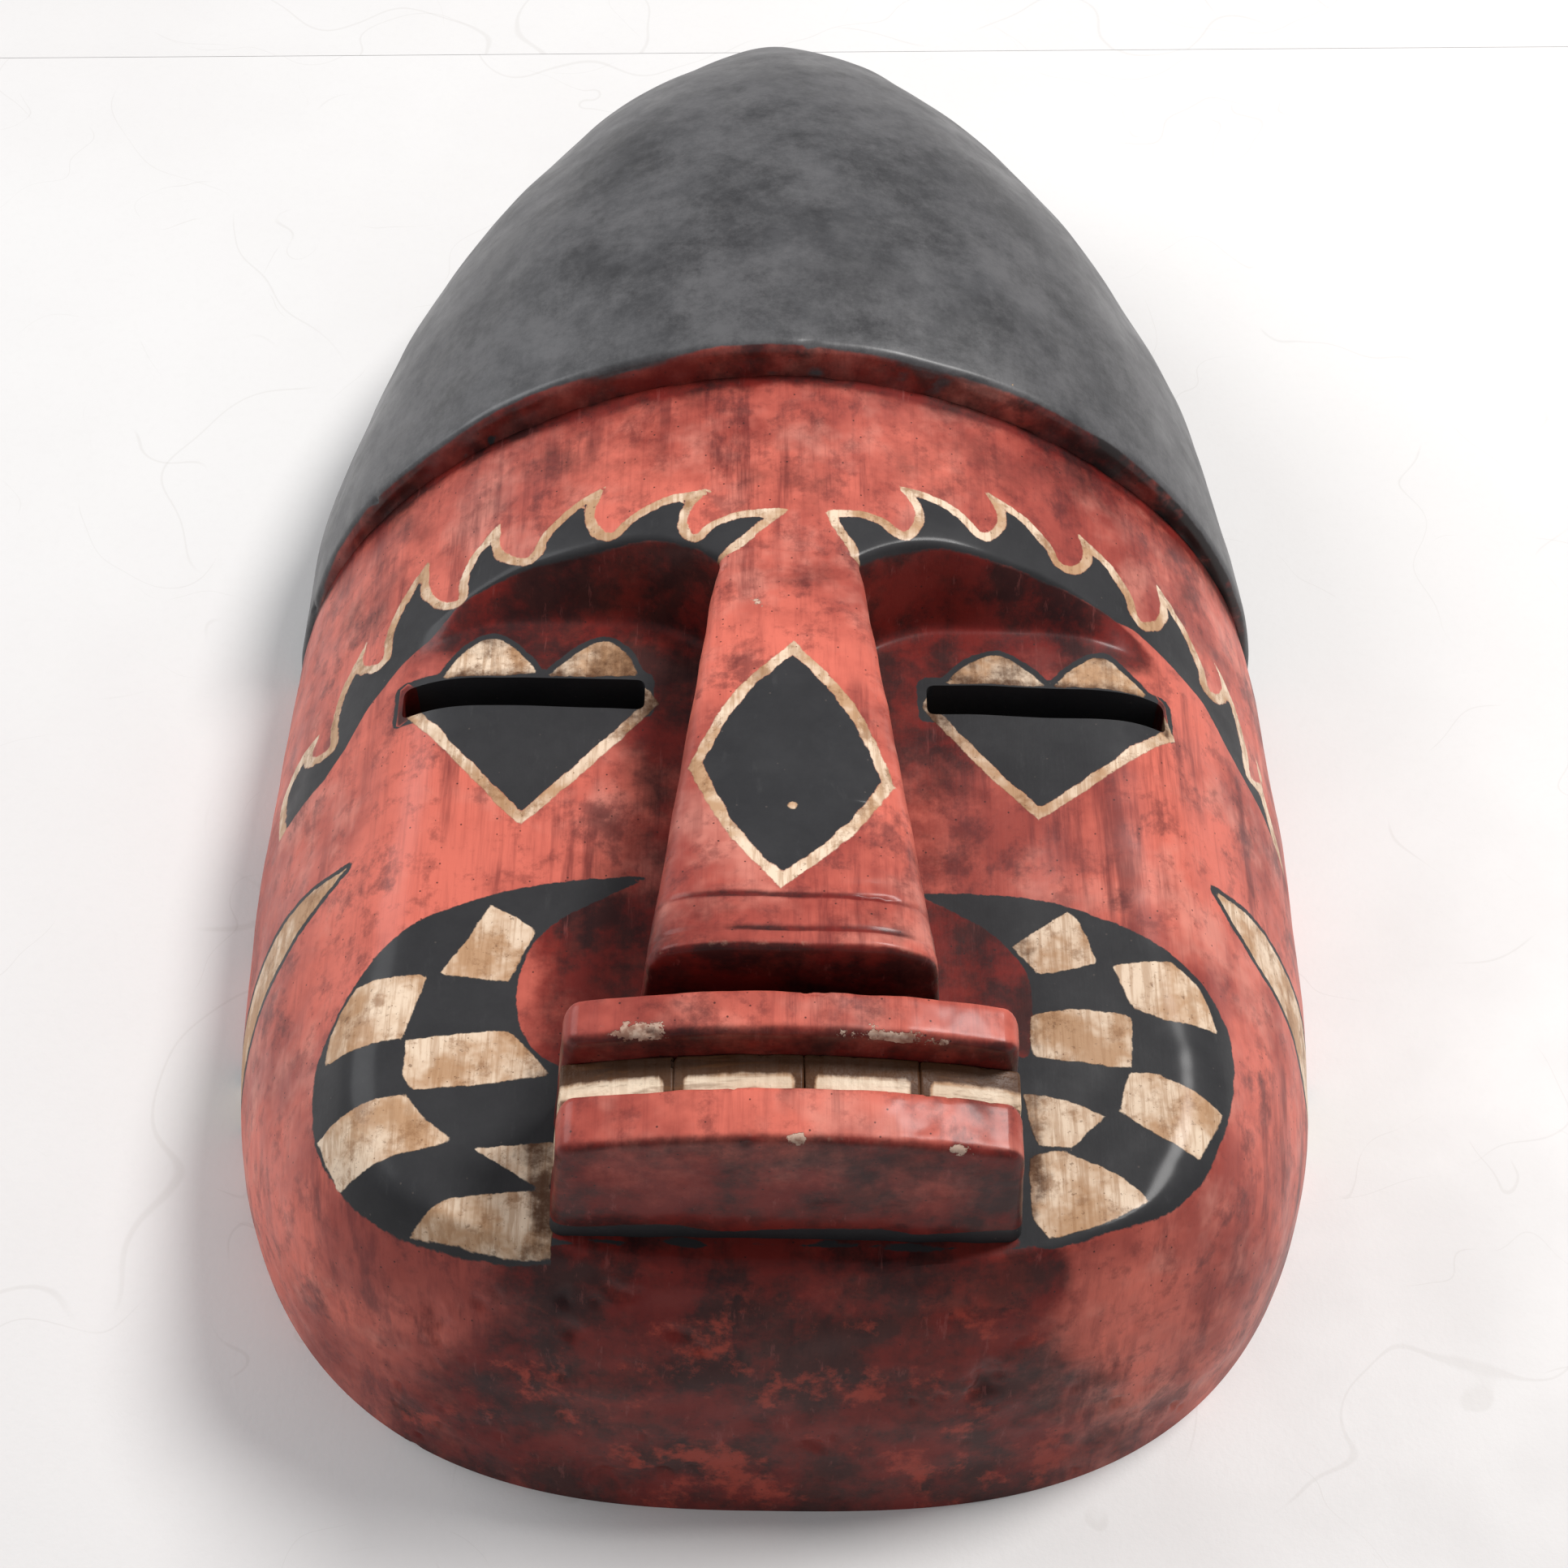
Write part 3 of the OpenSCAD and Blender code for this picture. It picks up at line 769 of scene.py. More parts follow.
def red_colour(n, dark):
    """Brick red: brush streaks, stains, scuffed patches, specks; deep maroon with dark, darker paint and
    painted shade.
    """
    cloud = n.noise(24, 5, 0.62)
    base = n.mix(n.span(cloud, 0.36, 0.62), (0.33, 0.060, 0.045), (0.68, 0.160, 0.112))
    # Pale pink patches: pink paint, and a painted sheen
    pink = n.blots(0.50, 0.70, 40, 4, 0.65, offset=7)
    base = n.over(base, pink, 0.55, (0.76, 0.31, 0.24))
    streak = n.blots(0.48, 0.66, 190, 5, 0.68, (1, 0.07, 0.25), turn=0.05)
    streak_area = n.blots(0.42, 0.62, 30, 3, 0.55, offset=3)
    base = n.over(base, n.times(streak, streak_area), 0.7, (0.105, 0.016, 0.018))
    fine = n.blots(0.45, 0.75, 700, 4, 0.7, (1, 0.05, 0.2))
    base = n.over(base, fine, 0.30, (0.17, 0.026, 0.026))
    stain = n.blots(0.54, 0.66, 60, 7, 0.70, (1, 0.8, 1), offset=11, warp=0.2)
    base = n.over(base, stain, 0.62, (0.080, 0.020, 0.022))
    mottle = n.blots(0.50, 0.68, 200, 6, 0.70, offset=5)
    base = n.over(base, mottle, 0.45, (0.11, 0.022, 0.022))
    # Deep maroon where dark is high: darker paint, and painted shade in the recesses
    deep_cloud = n.blots(0.40, 0.62, 70, 6, 0.68, offset=2)
    deep = n.mix(deep_cloud, (0.014, 0.005, 0.006), (0.150, 0.010, 0.008))
    amount = n.span(n.add(dark, n.wobble(1.5, 56, 6, 0.68, offset=9)), 0.15, 0.85)
    base = n.over(base, amount, 0.92, deep)
    scratch = n.blots(0.60, 0.72, 520, 4, 0.7, (1, 0.10, 0.3), turn=-0.35, offset=6)
    base = n.over(base, n.times(scratch, amount), 0.35, (0.30, 0.085, 0.075))
    fresh = n.times(n.blots(0.54, 0.66, 75, 7, 0.70, offset=14), n.attribute("patchy"))
    base = n.over(base, n.times(fresh, amount), 0.75, (0.42, 0.058, 0.034))
    return n.over(base, n.specks(420, 0.10), 0.8, (0.03, 0.012, 0.012))


def black_colour(n, grey):
    """Flat black paint, chalky here and there."""
    cloud = n.blots(0.3, 0.72, 60, 7, 0.72, offset=4)
    colour = n.mix(cloud, (0.026, 0.026, 0.028), grey)
    chalk = n.blots(0.56, 0.8, 420, 5, 0.7, (1, 0.3, 1), offset=8)
    colour = n.over(colour, chalk, 0.14, (0.12, 0.12, 0.12))
    return n.over(colour, n.specks(300, 0.07, 3), 0.5, (0.11, 0.09, 0.08))


def cream_colour(n, brown):
    """Cream paint with brown antiquing that settles in patches and along the brush lines."""
    base = n.mix(n.blots(0.40, 0.60, 85, 4, 0.62, offset=6), (0.50, 0.30, 0.17), (0.80, 0.63, 0.47))
    lines = n.blots(0.45, 0.62, 1000, 4, 0.65, (1, 0.06, 0.3), turn=0.45)
    base = n.over(base, lines, 0.50, (0.36, 0.19, 0.09))
    patch = n.blots(0.51, 0.64, 150, 6, 0.72, offset=12)
    base = n.over(base, patch, 0.62, (0.26, 0.125, 0.055))
    grit = n.blots(0.60, 0.70, 900, 4, 0.7, offset=15)
    base = n.over(base, grit, 0.6, (0.14, 0.065, 0.030))
    # Dark brown where the value passed in is high: antiquing, and the painted shade it carries
    amount = n.span(n.add(brown, n.wobble(0.9, 210, 5, 0.68)), 0.2, 0.62)
    base = n.over(base, amount, 0.95, (0.070, 0.026, 0.010))
    return n.over(base, n.specks(520, 0.09, 5), 0.75, (0.16, 0.08, 0.04))


def chipped(n):
    """Where paint has flaked off: the stored patches, with ragged edges."""
    ragged = n.add(n.wobble(1.3, 480, 4, 0.7), n.wobble(0.5, 1600, 3, 0.7))
    return n.span(n.add(n.attribute("chip"), ragged), 0.50, 0.58)


def paint_height(n, relief):
    """Brush ridges, grain showing through the paint, and whatever relief is added."""
    ridges = n.noise(700, 3, 0.6, (1, 0.07, 0.3))
    tool = n.noise(150, 2, 0.5)
    height = n.add(n.times(ridges, 0.30), n.times(tool, 0.3))
    height = n.add(height, n.times(n.noise(1500, 2, 0.5), 0.16))
    return n.add(height, relief)


def paint_material():
    """Red, black and cream paint on the face, nose and lips."""
    n = Nodes("painted_wood")
    edge = n.add(n.wobble(0.9, 320, 3, 0.6), n.wobble(0.35, 1400, 2, 0.6))
    dark = n.attribute("dark")
    names = ("brow_line", "framed", "black", "cream")
    flame, framed, black, cream = (n.add(n.attribute(name), edge) for name in names)
    band = n.add(n.wobble(1.4, 190, 2, 0.5, offset=2), CREAM_LINE)
    flame_in = n.inside(n.add(flame, band))
    framed_in = n.inside(n.add(framed, n.add(band, FRAME_EXTRA)))
    above = n.inside(n.add(n.attribute("lower"), n.times(edge, 0.5)))
    black = n.most(n.most(n.times(flame_in, above), framed_in), n.inside(black))
    bands = n.most(n.times(n.times(n.inside(flame), n.math("SUBTRACT", 1.0, flame_in)), above),
                   n.times(n.inside(framed), n.math("SUBTRACT", 1.0, framed_in)))
    cream = n.most(bands, n.inside(cream))

    colour = red_colour(n, dark)
    # Light tan on the arrises: scuffed paint, and a painted highlight
    scuffed_and_highlit = n.span(n.add(n.attribute("worn"), n.wobble(1.5, 210, 4, 0.7)), 0.75, 1.15)
    colour = n.over(colour, scuffed_and_highlit, 0.75, (0.46, 0.27, 0.20))
    colour = n.mix(black, colour, black_colour(n, (0.036, 0.036, 0.038)))
    # Cream darkens with half of dark, so it takes the painted shade too
    colour = n.mix(cream, colour, cream_colour(n, n.times(dark, 0.5)))
    chip = chipped(n)
    bare = n.mix(n.blots(0.35, 0.65, 500, 3, 0.6), (0.28, 0.15, 0.105), (0.60, 0.44, 0.34))
    colour = n.over(colour, chip, 0.9, bare)
    rough = n.span(n.noise(120, 4, 0.6, offset=1), 0.3, 0.7, 0.40, 0.56)
    rough = n.add(rough, n.add(n.times(black, 0.10), n.times(cream, 0.07)))
    relief = n.add(n.times(cream, 0.55), n.times(chip, -0.7))
    return n.finish(colour, rough, paint_height(n, relief), 0.13, coat=0.16, coat_rough=0.2, specular=0.12)


def cap_material():
    """Rubbed black paint, with the dark red ledge that faces the forehead."""
    n = Nodes("cap_paint")
    cloud = n.blots(0.38, 0.66, 46, 10, 0.82)
    colour = n.mix(n.times(cloud, 0.75), black_colour(n, (0.066, 0.066, 0.070)), (0.122, 0.120, 0.124))
    bruise = n.blots(0.56, 0.66, 34, 6, 0.7, offset=5)
    colour = n.over(colour, bruise, 0.35, (0.035, 0.035, 0.038))
    ledge = n.attribute("ledge")
    edge = n.wobble(1.3, 240, 4, 0.65)
    on_ledge = n.span(n.add(ledge, edge), -0.3, 0.5)
    red = red_colour(n, n.add(n.attribute("dark"), 0.1))
    # Blackens the ledge's red, more towards the right and near the top of the arch
    soot = n.span(n.add(n.noise(110, 4, 0.65, offset=3), n.attribute("soot")), 0.62, 0.82)
    red = n.mix(soot, red, (0.018, 0.014, 0.014))
    colour = n.mix(on_ledge, colour, red)
    chip = chipped(n)
    colour = n.mix(chip, colour, (0.42, 0.29, 0.18))
    rough = n.span(n.noise(90, 4, 0.6), 0.3, 0.7, 0.36, 0.52)
    return n.finish(colour, rough, paint_height(n, n.times(chip, -0.6)), 0.13, coat=0.10, coat_rough=0.25,
                    specular=0.4)


def tooth_material():
    """Bright cream where the lower lip ends, brown in the grooves, and brown with painted shade next to the
    upper lip.
    """
    n = Nodes("tooth_paint")
    colour = cream_colour(n, n.attribute("dark"))
    bright = n.span(n.attribute("dark"), 0.35, 0.05)
    colour = n.over(colour, bright, 0.55, (0.90, 0.78, 0.60))
    lines = n.noise(800, 3, 0.6, (0.05, 1, 1))
    colour = n.over(colour, n.span(lines, 0.52, 0.68), 0.5, (0.17, 0.075, 0.03))
    rough = n.span(n.noise(150, 3, 0.6), 0.3, 0.7, 0.38, 0.55)
    return n.finish(colour, rough, n.add(n.times(lines, 0.8), n.noise(900, 2)), 0.15, specular=0.15)


def wood_material(name, light, deep):
    """Unpainted softwood with long grain, pores and a few tool marks."""
    n = Nodes(name)
    grain = n.noise(260, 5, 0.65, (1, 0.035, 0.3), warp=0.2)
    rings = n.noise(60, 3, 0.5, (1, 0.06, 0.5), offset=2)
    colour = n.mix(n.span(rings, 0.35, 0.65), light, deep)
    colour = n.over(colour, n.span(grain, 0.48, 0.7), 0.6, tuple(c * 0.45 for c in deep))
    colour = n.over(colour, n.specks(500, 0.08), 0.6, tuple(c * 0.3 for c in deep))
    dirt = n.blots(0.5, 0.72, 40, 4, 0.6, offset=5)
    colour = n.over(colour, dirt, 0.45, (0.07, 0.04, 0.025))
    rough = n.span(grain, 0.3, 0.7, 0.55, 0.78)
    return n.finish(colour, rough, n.add(n.times(grain, 0.8), n.times(n.noise(1200, 2), 0.3)), 0.25)


def steel_material():
    n = Nodes("dull_steel")
    lines = n.noise(1800, 3, 0.6, (1, 0.04, 0.2))
    colour = n.mix(n.blots(0.35, 0.7, 170, 4, 0.6), (0.44, 0.43, 0.41), (0.62, 0.61, 0.59))
    tarnish = n.blots(0.56, 0.72, 420, 5, 0.7, offset=4)
    colour = n.over(colour, tarnish, 0.5, (0.20, 0.13, 0.085))
    rough = n.span(n.add(n.noise(300, 3, 0.6), n.times(tarnish, 0.2)), 0.3, 0.8, 0.24, 0.5)
    return n.finish(colour, rough, lines, 0.02, metal=1.0)


def table_material():
    n = Nodes("pale_table")
    colour = n.mix(n.blots(0.3, 0.7, 6, 5, 0.6), (0.75, 0.735, 0.725), (0.78, 0.77, 0.76))
    colour = n.over(colour, n.blots(0.45, 0.7, 500, 3, 0.6), 0.05, (0.62, 0.60, 0.58))
    for scale, offset in ((9, 3), (14, 8), (21, 17)):
        winding = n.math("ABSOLUTE", n.add(n.noise(scale, 2, 0.4, offset=offset), -0.5))
        here = n.blots(0.5, 0.56, scale * 1.7, 2, 0.5, offset=5)
        hair = n.times(n.span(winding, 0.0016, 0.0004), here)
        colour = n.over(colour, hair, 0.16, (0.45, 0.42, 0.38))
    rough = n.span(n.noise(30, 3, 0.6), 0.3, 0.7, 0.5, 0.6)
    return n.finish(colour, rough, n.noise(900, 3, 0.6), 0.04)


def set_values(piece, **arrays):
    """Stores one number per vertex under each name; the paint reads all of them."""
    mesh = piece.data
    defaults = dict(brow_line=FAR, lower=FAR, framed=FAR, black=FAR, cream=FAR, dark=0, worn=0, chip=0,
                    ledge=-5, soot=0, patchy=0.15)
    for name, value in {**defaults, **arrays}.items():
        layer = mesh.attributes.new(name, "FLOAT", "POINT")
        layer.data.foreach_set("value", np.broadcast_to(value, len(mesh.vertices)).astype(np.float32))


def vertices(piece):
    """Vertex positions in mm, with y = 0 at the join."""
    co = np.empty(len(piece.data.vertices) * 3)
    piece.data.vertices.foreach_get("co", co)
    return co.reshape(-1, 3) / MM - [0, JOIN_Y, 0]


# ---------------------------------------------------------------- pieces
def rounded_box(name, centre, half, corner, height, material):
    """A cutting tool with rounded upright corners."""
    corners = [(-half[0], -half[1]), (half[0], -half[1]), (half[0], half[1]), (-half[0], half[1])]
    loop, _ = rounded_loop(corners, [corner] * 4, [6] * 4)
    rows = [np.column_stack([loop + centre, np.full(len(loop), z)]) for z in height]
    faces = grid_faces(2, len(loop), 0, closed=True)
    faces += [list(range(len(loop)))[::-1], [len(loop) + k for k in range(len(loop))]]
    return solid(name, np.concatenate(rows), faces, [material])


def gouged(grid, seed, depth):
    """Long shallow gouge strokes over a hollow's surface."""
    bend = waves(grid, 60, seed) * 6 + waves(grid, 17, seed + 1) * 1.3
    strokes = np.abs(np.sin((grid[..., 0] + bend) * math.pi / 7.5))
    breaks = np.abs(np.sin((grid[..., 1] + bend * 2.5) * math.pi / 26))
    fade = ease(0, 6, grid[..., 2])
    return grid + grid_normals(grid, (0, 0, 1)) * ((strokes * 0.8 + breaks * 0.5) * depth * fade)[..., None]


def face_piece(paint, wood):
    columns = spread(150)
    brow = brow_s(columns * CHEEK_HALF_W)
    end = column_end(columns, CHIN)
    knots = [brow * 0, brow + 1.3, brow - BROW_DRAFT - 1.3, end]
    outer = column_grid(columns, knots, (42, 34, 190), half_width, CHIN, face_z)
    lift = ease(0, 12, outer[..., 2]) * ease(0, -4, outer[..., 1] - LEAN * outer[..., 2])
    carve = 0.30 * waves(outer, 32, 1) + 0.05 * waves(outer, 12, 2) + 0.012 * waves(outer, 5, 3)
    on_chin = ease(CHIN_EDGE_Y + 2, CHIN_EDGE_Y - 3, outer[..., 1])
    pits = np.clip(waves(outer, 4.5, 4) * waves(outer, 17, 5) - 0.9, 0, 1.2) * 0.55 * on_chin
    carve += 0.10 * waves(outer, 8, 6) * on_chin
    ragged = 1 + 0.35 * waves(outer, 4, 7)
    knots_in_wood = pits
    for knot_x, knot_z, wide, tall, deep in CHIN_KNOTS:
        across = (outer[..., 0] - knot_x) / wide
        upwards = (outer[..., 2] - knot_z) / tall
        knots_in_wood = knots_in_wood + deep * bell(np.hypot(across, upwards) * ragged, 1) * on_chin
    outer = outer + grid_normals(outer, (0, 0, 1)) * (carve * lift - knots_in_wood)[..., None]
    core_columns = spread(44)
    core_end = column_end(core_columns, CORE_CHIN)
    inner = column_grid(core_columns, [core_end * 0, core_end], (88,), lambda s: half_width(s) - WALL,
                        CORE_CHIN, core_z)
    inner = gouged(inner, 21, 0.5)
    piece = shell("face", outer, inner, [paint, wood])
    for side in (-1, 1):
        centre = np.array([side * sum(SLOT_X) / 2, SLOT_Y])
        half = ((SLOT_X[1] - SLOT_X[0]) / 2, SLOT_W / 2)
        cut(piece, rounded_box("slot_tool", centre, half, SLOT_CORNER, SLOT_CUT_Z, paint))
    set_values(piece, **face_paint(vertices(piece)))
    shade(piece, 38)
    return piece


def cap_grid(width, height, length, power, plan_power, plan_round, rows, cols):
    t = np.sin(np.linspace(0, math.pi / 2, rows)) * 0.99995
    angle = np.linspace(-math.pi / 2, math.pi / 2, cols)
    t, angle = np.meshgrid(t, angle, indexing="ij")
    sine, cosine = np.abs(np.sin(angle)), np.clip(np.cos(angle), 0, 1)
    z = height * np.sqrt(1 - t * t) * cosine ** (2 / power)
    z[:, [0, -1]] = 0
    z[-1] = 0
    x = np.sign(angle) * width * (1 - t ** plan_power) ** plan_round * sine ** (2 / power)
    return np.stack([x, length * t + LEAN * z, z], -1)


def cap_piece(paint, wood):
    outer = cap_grid(CAP_HALF_W, CAP_H, CAP_LENGTH, CAP_POWER, 1.9, 0.7, CAP_ROWS, CAP_COLUMNS)
    arch = outer[0].copy()
    arch[:, 1] = 0

    def front_row(inset, back):
        flat = arch[:, [0, 2]]
        size = np.linalg.norm(flat, axis=1, keepdims=True)
        flat = flat * (1 - inset / size)
        return np.stack([flat[:, 0], back + LEAN * flat[:, 1], flat[:, 1]], 1)

    turn = np.linspace(0, math.pi / 2, 7)
    ledge = [front_row(inset, 0) for inset in (11, 9.5, 8, 6.5, 5, 3.6, 2.6)]
    lip = [front_row(LIP_ROUND * (1 - math.sin(f)), LIP_ROUND * (1 - math.cos(f))) for f in turn]
    ridge = outer[:, CAP_COLUMNS // 2]
    skin = outer[ridge[:, 1] - LEAN * ridge[:, 2] > LIP_ROUND * 1.6]
    grid = np.concatenate([np.array(ledge + lip), skin])
    lift = ease(0, 12, grid[..., 2])
    carve = 0.40 * waves(grid, 38, 31) + 0.09 * waves(grid, 14, 32)
    lip_line = bell(grid[..., 1] - LEAN * grid[..., 2], 1.6)
    nicks = np.clip(waves(grid, 5, 33) * waves(grid, 23, 34) - 0.9, 0, 1) * lip_line
    on_face = np.zeros(grid.shape[:2])
    on_face[:len(ledge)] = 1
    shift = (carve * (1 - 0.8 * on_face) + 0.25 * on_face * waves(grid, 6, 35)) * lift - 1.1 * nicks
    shift[:2] = 0
    grid = grid + grid_normals(grid, (0, 0, 1)) * shift[..., None]
    core = cap_grid(JOIN_HALF_W - WALL, CORE_JOIN_H, CORE_CAP_L, 2, 2, 0.5, 60, 97)
    piece = shell("cap", grid, gouged(core, 41, 0.5), [paint, wood])
    middle = (0, sum(SHELF_Y) / 2)
    half = (SHELF_HALF_W, (SHELF_Y[1] - SHELF_Y[0]) / 2)
    cut(piece, rounded_box("shelf_tool", middle, half, SHELF_CORNER, (-3, SHELF_Z), wood))
    points = vertices(piece)
    back = points[:, 1] - LEAN * points[:, 2]
    from_lip = 1.0 - back * 2.2
    # The ledge's red blackens more towards the right and near the top of the arch
    set_values(piece, ledge=np.clip(from_lip, -5, 1.5), dark=0.55,
               soot=ease(10, 80, points[:, 0]) * 0.30 - 0.02 + 0.12 * ease(84, 90, points[:, 2]),
               chip=chip_marks(points, [((37, 89, 1.5), (4.5, 2.5)), ((45, 83.5, 1.2), (3.2, 2.2))]))
    shade(piece, 50)
    return piece


def chip_marks(points, chips):
    """1 in the middle of each rubbed-off patch; a patch is (x, z, y of the join) and its size."""
    total = np.zeros(len(points))
    ragged = 1 + 0.3 * waves(points, 3.5, 51)
    for (x, z, back), (wide, deep) in chips:
        gap = np.abs(points[:, 1] - LEAN * points[:, 2] - back)
        patch = bell((points[:, 0] - x) * ragged, wide) * bell((points[:, 2] - z) * ragged, deep)
        total += patch * bell(gap, 3)
    return total


def nose_piece(paint):
    length = NOSE_Y[1] - NOSE_Y[0]

    def section(u):
        t = u / -length
        half = between(NOSE_HALF_W, t)
        top = between(NOSE_TOP, t)
        drop = 1.6 + 2.6 * t
        flare = 2 + 1.5 * t
        corners = [(-half - flare, NOSE_FLOOR), (half + flare, NOSE_FLOOR), (half, top - drop),
                   (half * 0.62, top - 0.4), (-half * 0.62, top - 0.4), (-half, top - drop)]
        radii = [0.5, 0.5, 2 + 3 * t, 5 + 2 * t, 5 + 2 * t, 2 + 3 * t]
        return rounded_loop(corners, radii, [6, 28, 5, 26, 5, 28])

    def place(u, loop):
        y = np.full(len(loop), NOSE_Y[0] - u)
        creases = bell(y - NOSE_CREASES_Y[0] + 0.02 * loop[:, 0], 0.5)
        creases += bell(y - NOSE_CREASES_Y[1], 0.45)
        line = 0.32 * creases * (loop[:, 1] > 90)
        pinch = 1 - 0.10 * bell(y + 32.5, 1.6) * ease(82, 78, loop[:, 1])
        return np.column_stack([loop[:, 0] * pinch, y, loop[:, 1] - line])

    piece = bar("nose_block", section, np.linspace(0, -length, 220), 1.6, place, [paint], 0.09, 61)
    points = vertices(piece)
    x, y, z = points.T
    plan = points[:, :2]
    framed = signed_distance(plan, bowed(DIAMOND, 0.06))
    framed = np.where(z > 70, framed, FAR)
    dot = np.hypot(x - NOSE_DOT[0], y - NOSE_DOT[1]) - 0.7
    # Darker at the tip's front, along the creases, at the root and down the sides: painted shade in the
    # creases and next to the face, with darker paint
    tip = ease(NOSE_Y[1] + 1.2, NOSE_Y[1] + 0.2, y)
    lines = bell(y - NOSE_CREASES_Y[0] + 0.02 * x, 0.6) * ease(24, 8, np.abs(x))
    lines += bell(y - NOSE_CREASES_Y[1], 0.5) * ease(18, 8, np.abs(x - 4))
    root = 0.3 * bell(np.hypot(x - 2, (y + 37) * 2), 9)
    below_top = NOSE_TOP[1] - z - (y - NOSE_Y[1]) * 0.19
    sides = ease(4, 12, below_top) * 0.55
    dark = 0.82 * tip + 0.8 * lines * (z > 88) + root + sides + 0.25 * ease(-105, -118, y) + 0.12
    # The nose tip's top edge: scuffed paint, and a painted highlight
    edge = bell(y - NOSE_Y[1] - 0.8, 1.0) * (z > 90)
    set_values(piece, framed=framed, cream=dot, dark=np.clip(dark, 0, 1), worn=0.75 * edge,
               chip=0.6 * bell(np.hypot(x + 6, y + 44), 2.2))
    shade(piece, 60)
    return piece


def mouth_half(z):
    return MOUTH_HALF_W - LIP_TAPER * (z - MOUTH_FLOOR) / (LIP_H - MOUTH_FLOOR)


def mouth_place(u, loop):
    """u runs along the mouth in mm of its foot; a section is (y, z)."""
    share = u / MOUTH_HALF_W
    return np.column_stack([share * mouth_half(loop[:, 1]), loop[:, 0], loop[:, 1]])


def lip_piece(name, front, lean, back, top, paint, seed, chips):
    def section(u):
        share = u / MOUTH_HALF_W
        z = top - LIP_CROWN * share ** 2
        corners = [(front, MOUTH_FLOOR), (front + lean, z), (back, z), (back, MOUTH_FLOOR)]
        return rounded_loop(corners, [0.5, 1.6, 1.1, 0.5], [34, 12, 34, 6])

    stations = np.linspace(-MOUTH_HALF_W, MOUTH_HALF_W, 150)
    piece = bar(name, section, stations, 2.4, mouth_place, [paint], 0.11, seed)
    x, y, z = vertices(piece).T
    surface = top - LIP_CROWN * (x / MOUTH_HALF_W) ** 2
    down = surface - z
    depth = top - MOUTH_H
    face_front = ease(front + lean + 1.6, front + lean + 0.4, y)
    # The front is dark paint, darker towards its foot, and the other faces darken lower down: painted shade
    # near the face
    dark = face_front * (0.66 + 0.34 * ease(depth * 0.3, depth * 0.85, down))
    dark += 0.35 * bell(x / MOUTH_HALF_W - 0.9, 0.12) * face_front
    dark += (0.26 + 0.5 * ease(2, 5, down)) * (1 - face_front)
    # A black band along the front's foot: black paint, with painted shade in the corner at the face
    foot = np.where(face_front > 0.5, z - MOUTH_H - 3.0 + 1.2 * waves(vertices(piece), 14, seed + 5), FAR)
    # The lip's front top edge: scuffed paint, and a painted highlight
    edge = bell(y - front - lean - 0.6, 0.9) * bell(down - 0.4, 1.2)
    chip = np.zeros(len(x))
    ragged = 1 + 0.35 * waves(vertices(piece), 4, seed + 9)
    for (at, wide), (at_y, deep) in chips:
        chip += bell((x - at) * ragged, wide) * bell((y - at_y) * ragged, deep) * (down < 2.2)
    set_values(piece, dark=np.clip(dark, 0, 1), worn=0.62 * edge, chip=0.8 * chip, black=foot)
    shade(piece, 60)
    return piece


def tooth_piece(index, paint):
    start, stop = TOOTH_EDGES[index] * MOUTH_HALF_W, TOOTH_EDGES[index + 1] * MOUTH_HALF_W

    def section(u):
        z = LIP_H - 1.5 - LIP_CROWN * (u / MOUTH_HALF_W) ** 2
        corners = [(LOWER_BACK_Y, MOUTH_FLOOR), (LOWER_BACK_Y, z - 0.2), (TEETH_BACK_Y, z + 0.5),
                   (TEETH_BACK_Y, MOUTH_FLOOR)]
        return rounded_loop(corners, [0.3, 0.7, 0.4, 0.3], [30, 10, 30, 4])

    stations = np.arange(start, stop + 0.3, 0.6)
    stations[-1] = stop
    name = f"tooth_block_{index + 1}"
    piece = bar(name, section, stations, 0.5, mouth_place, [paint], 0.07, 80 + 5 * index)
    x, y, z = vertices(piece).T
    middle = (start + stop) / 2 * 0.93
    half = (stop - start) / 2 * 0.93
    grooves = ease(half - 2.2, half - 0.9, np.abs(x - middle))
    outer_end = ((index == 0) & (x < middle)) | ((index == 3) & (x > middle))
    grooves = np.where(outer_end, grooves * 0.2, grooves)
    # Brown next to the upper lip: brown paint, with painted shade where the upper lip rises over the teeth
    under_lip = ease(LOWER_BACK_Y + 1.8, LOWER_BACK_Y + 4.2, y)
    set_values(piece, dark=np.clip(0.9 * grooves + 1.0 * under_lip, 0, 1))
    shade(piece, 60)
    return piece


def bevelled_copy(node, width):
    """A hardware piece with its edges eased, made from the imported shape."""
    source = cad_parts[node]
    piece = bpy.data.objects.new(node + "_eased", source.data.copy())
    bpy.context.scene.collection.objects.link(piece)
    work = bmesh.new()
    work.from_mesh(piece.data)
    bmesh.ops.remove_doubles(work, verts=work.verts, dist=1e-6)
    sharp = [e for e in work.edges if len(e.link_faces) == 2 and e.calc_face_angle(0) > math.radians(40)]
    bmesh.ops.bevel(work, geom=sharp, offset=width * MM, segments=2, profile=0.6, affect="EDGES",
                    clamp_overlap=True)
    work.to_mesh(piece.data)
    work.free()
    shade(piece, 35)
    return piece


def hand_in(piece, node):
    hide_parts(node)
    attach(piece, "mask")


def repaint(piece, material):
    piece.data.materials.clear()
    piece.data.materials.append(material)


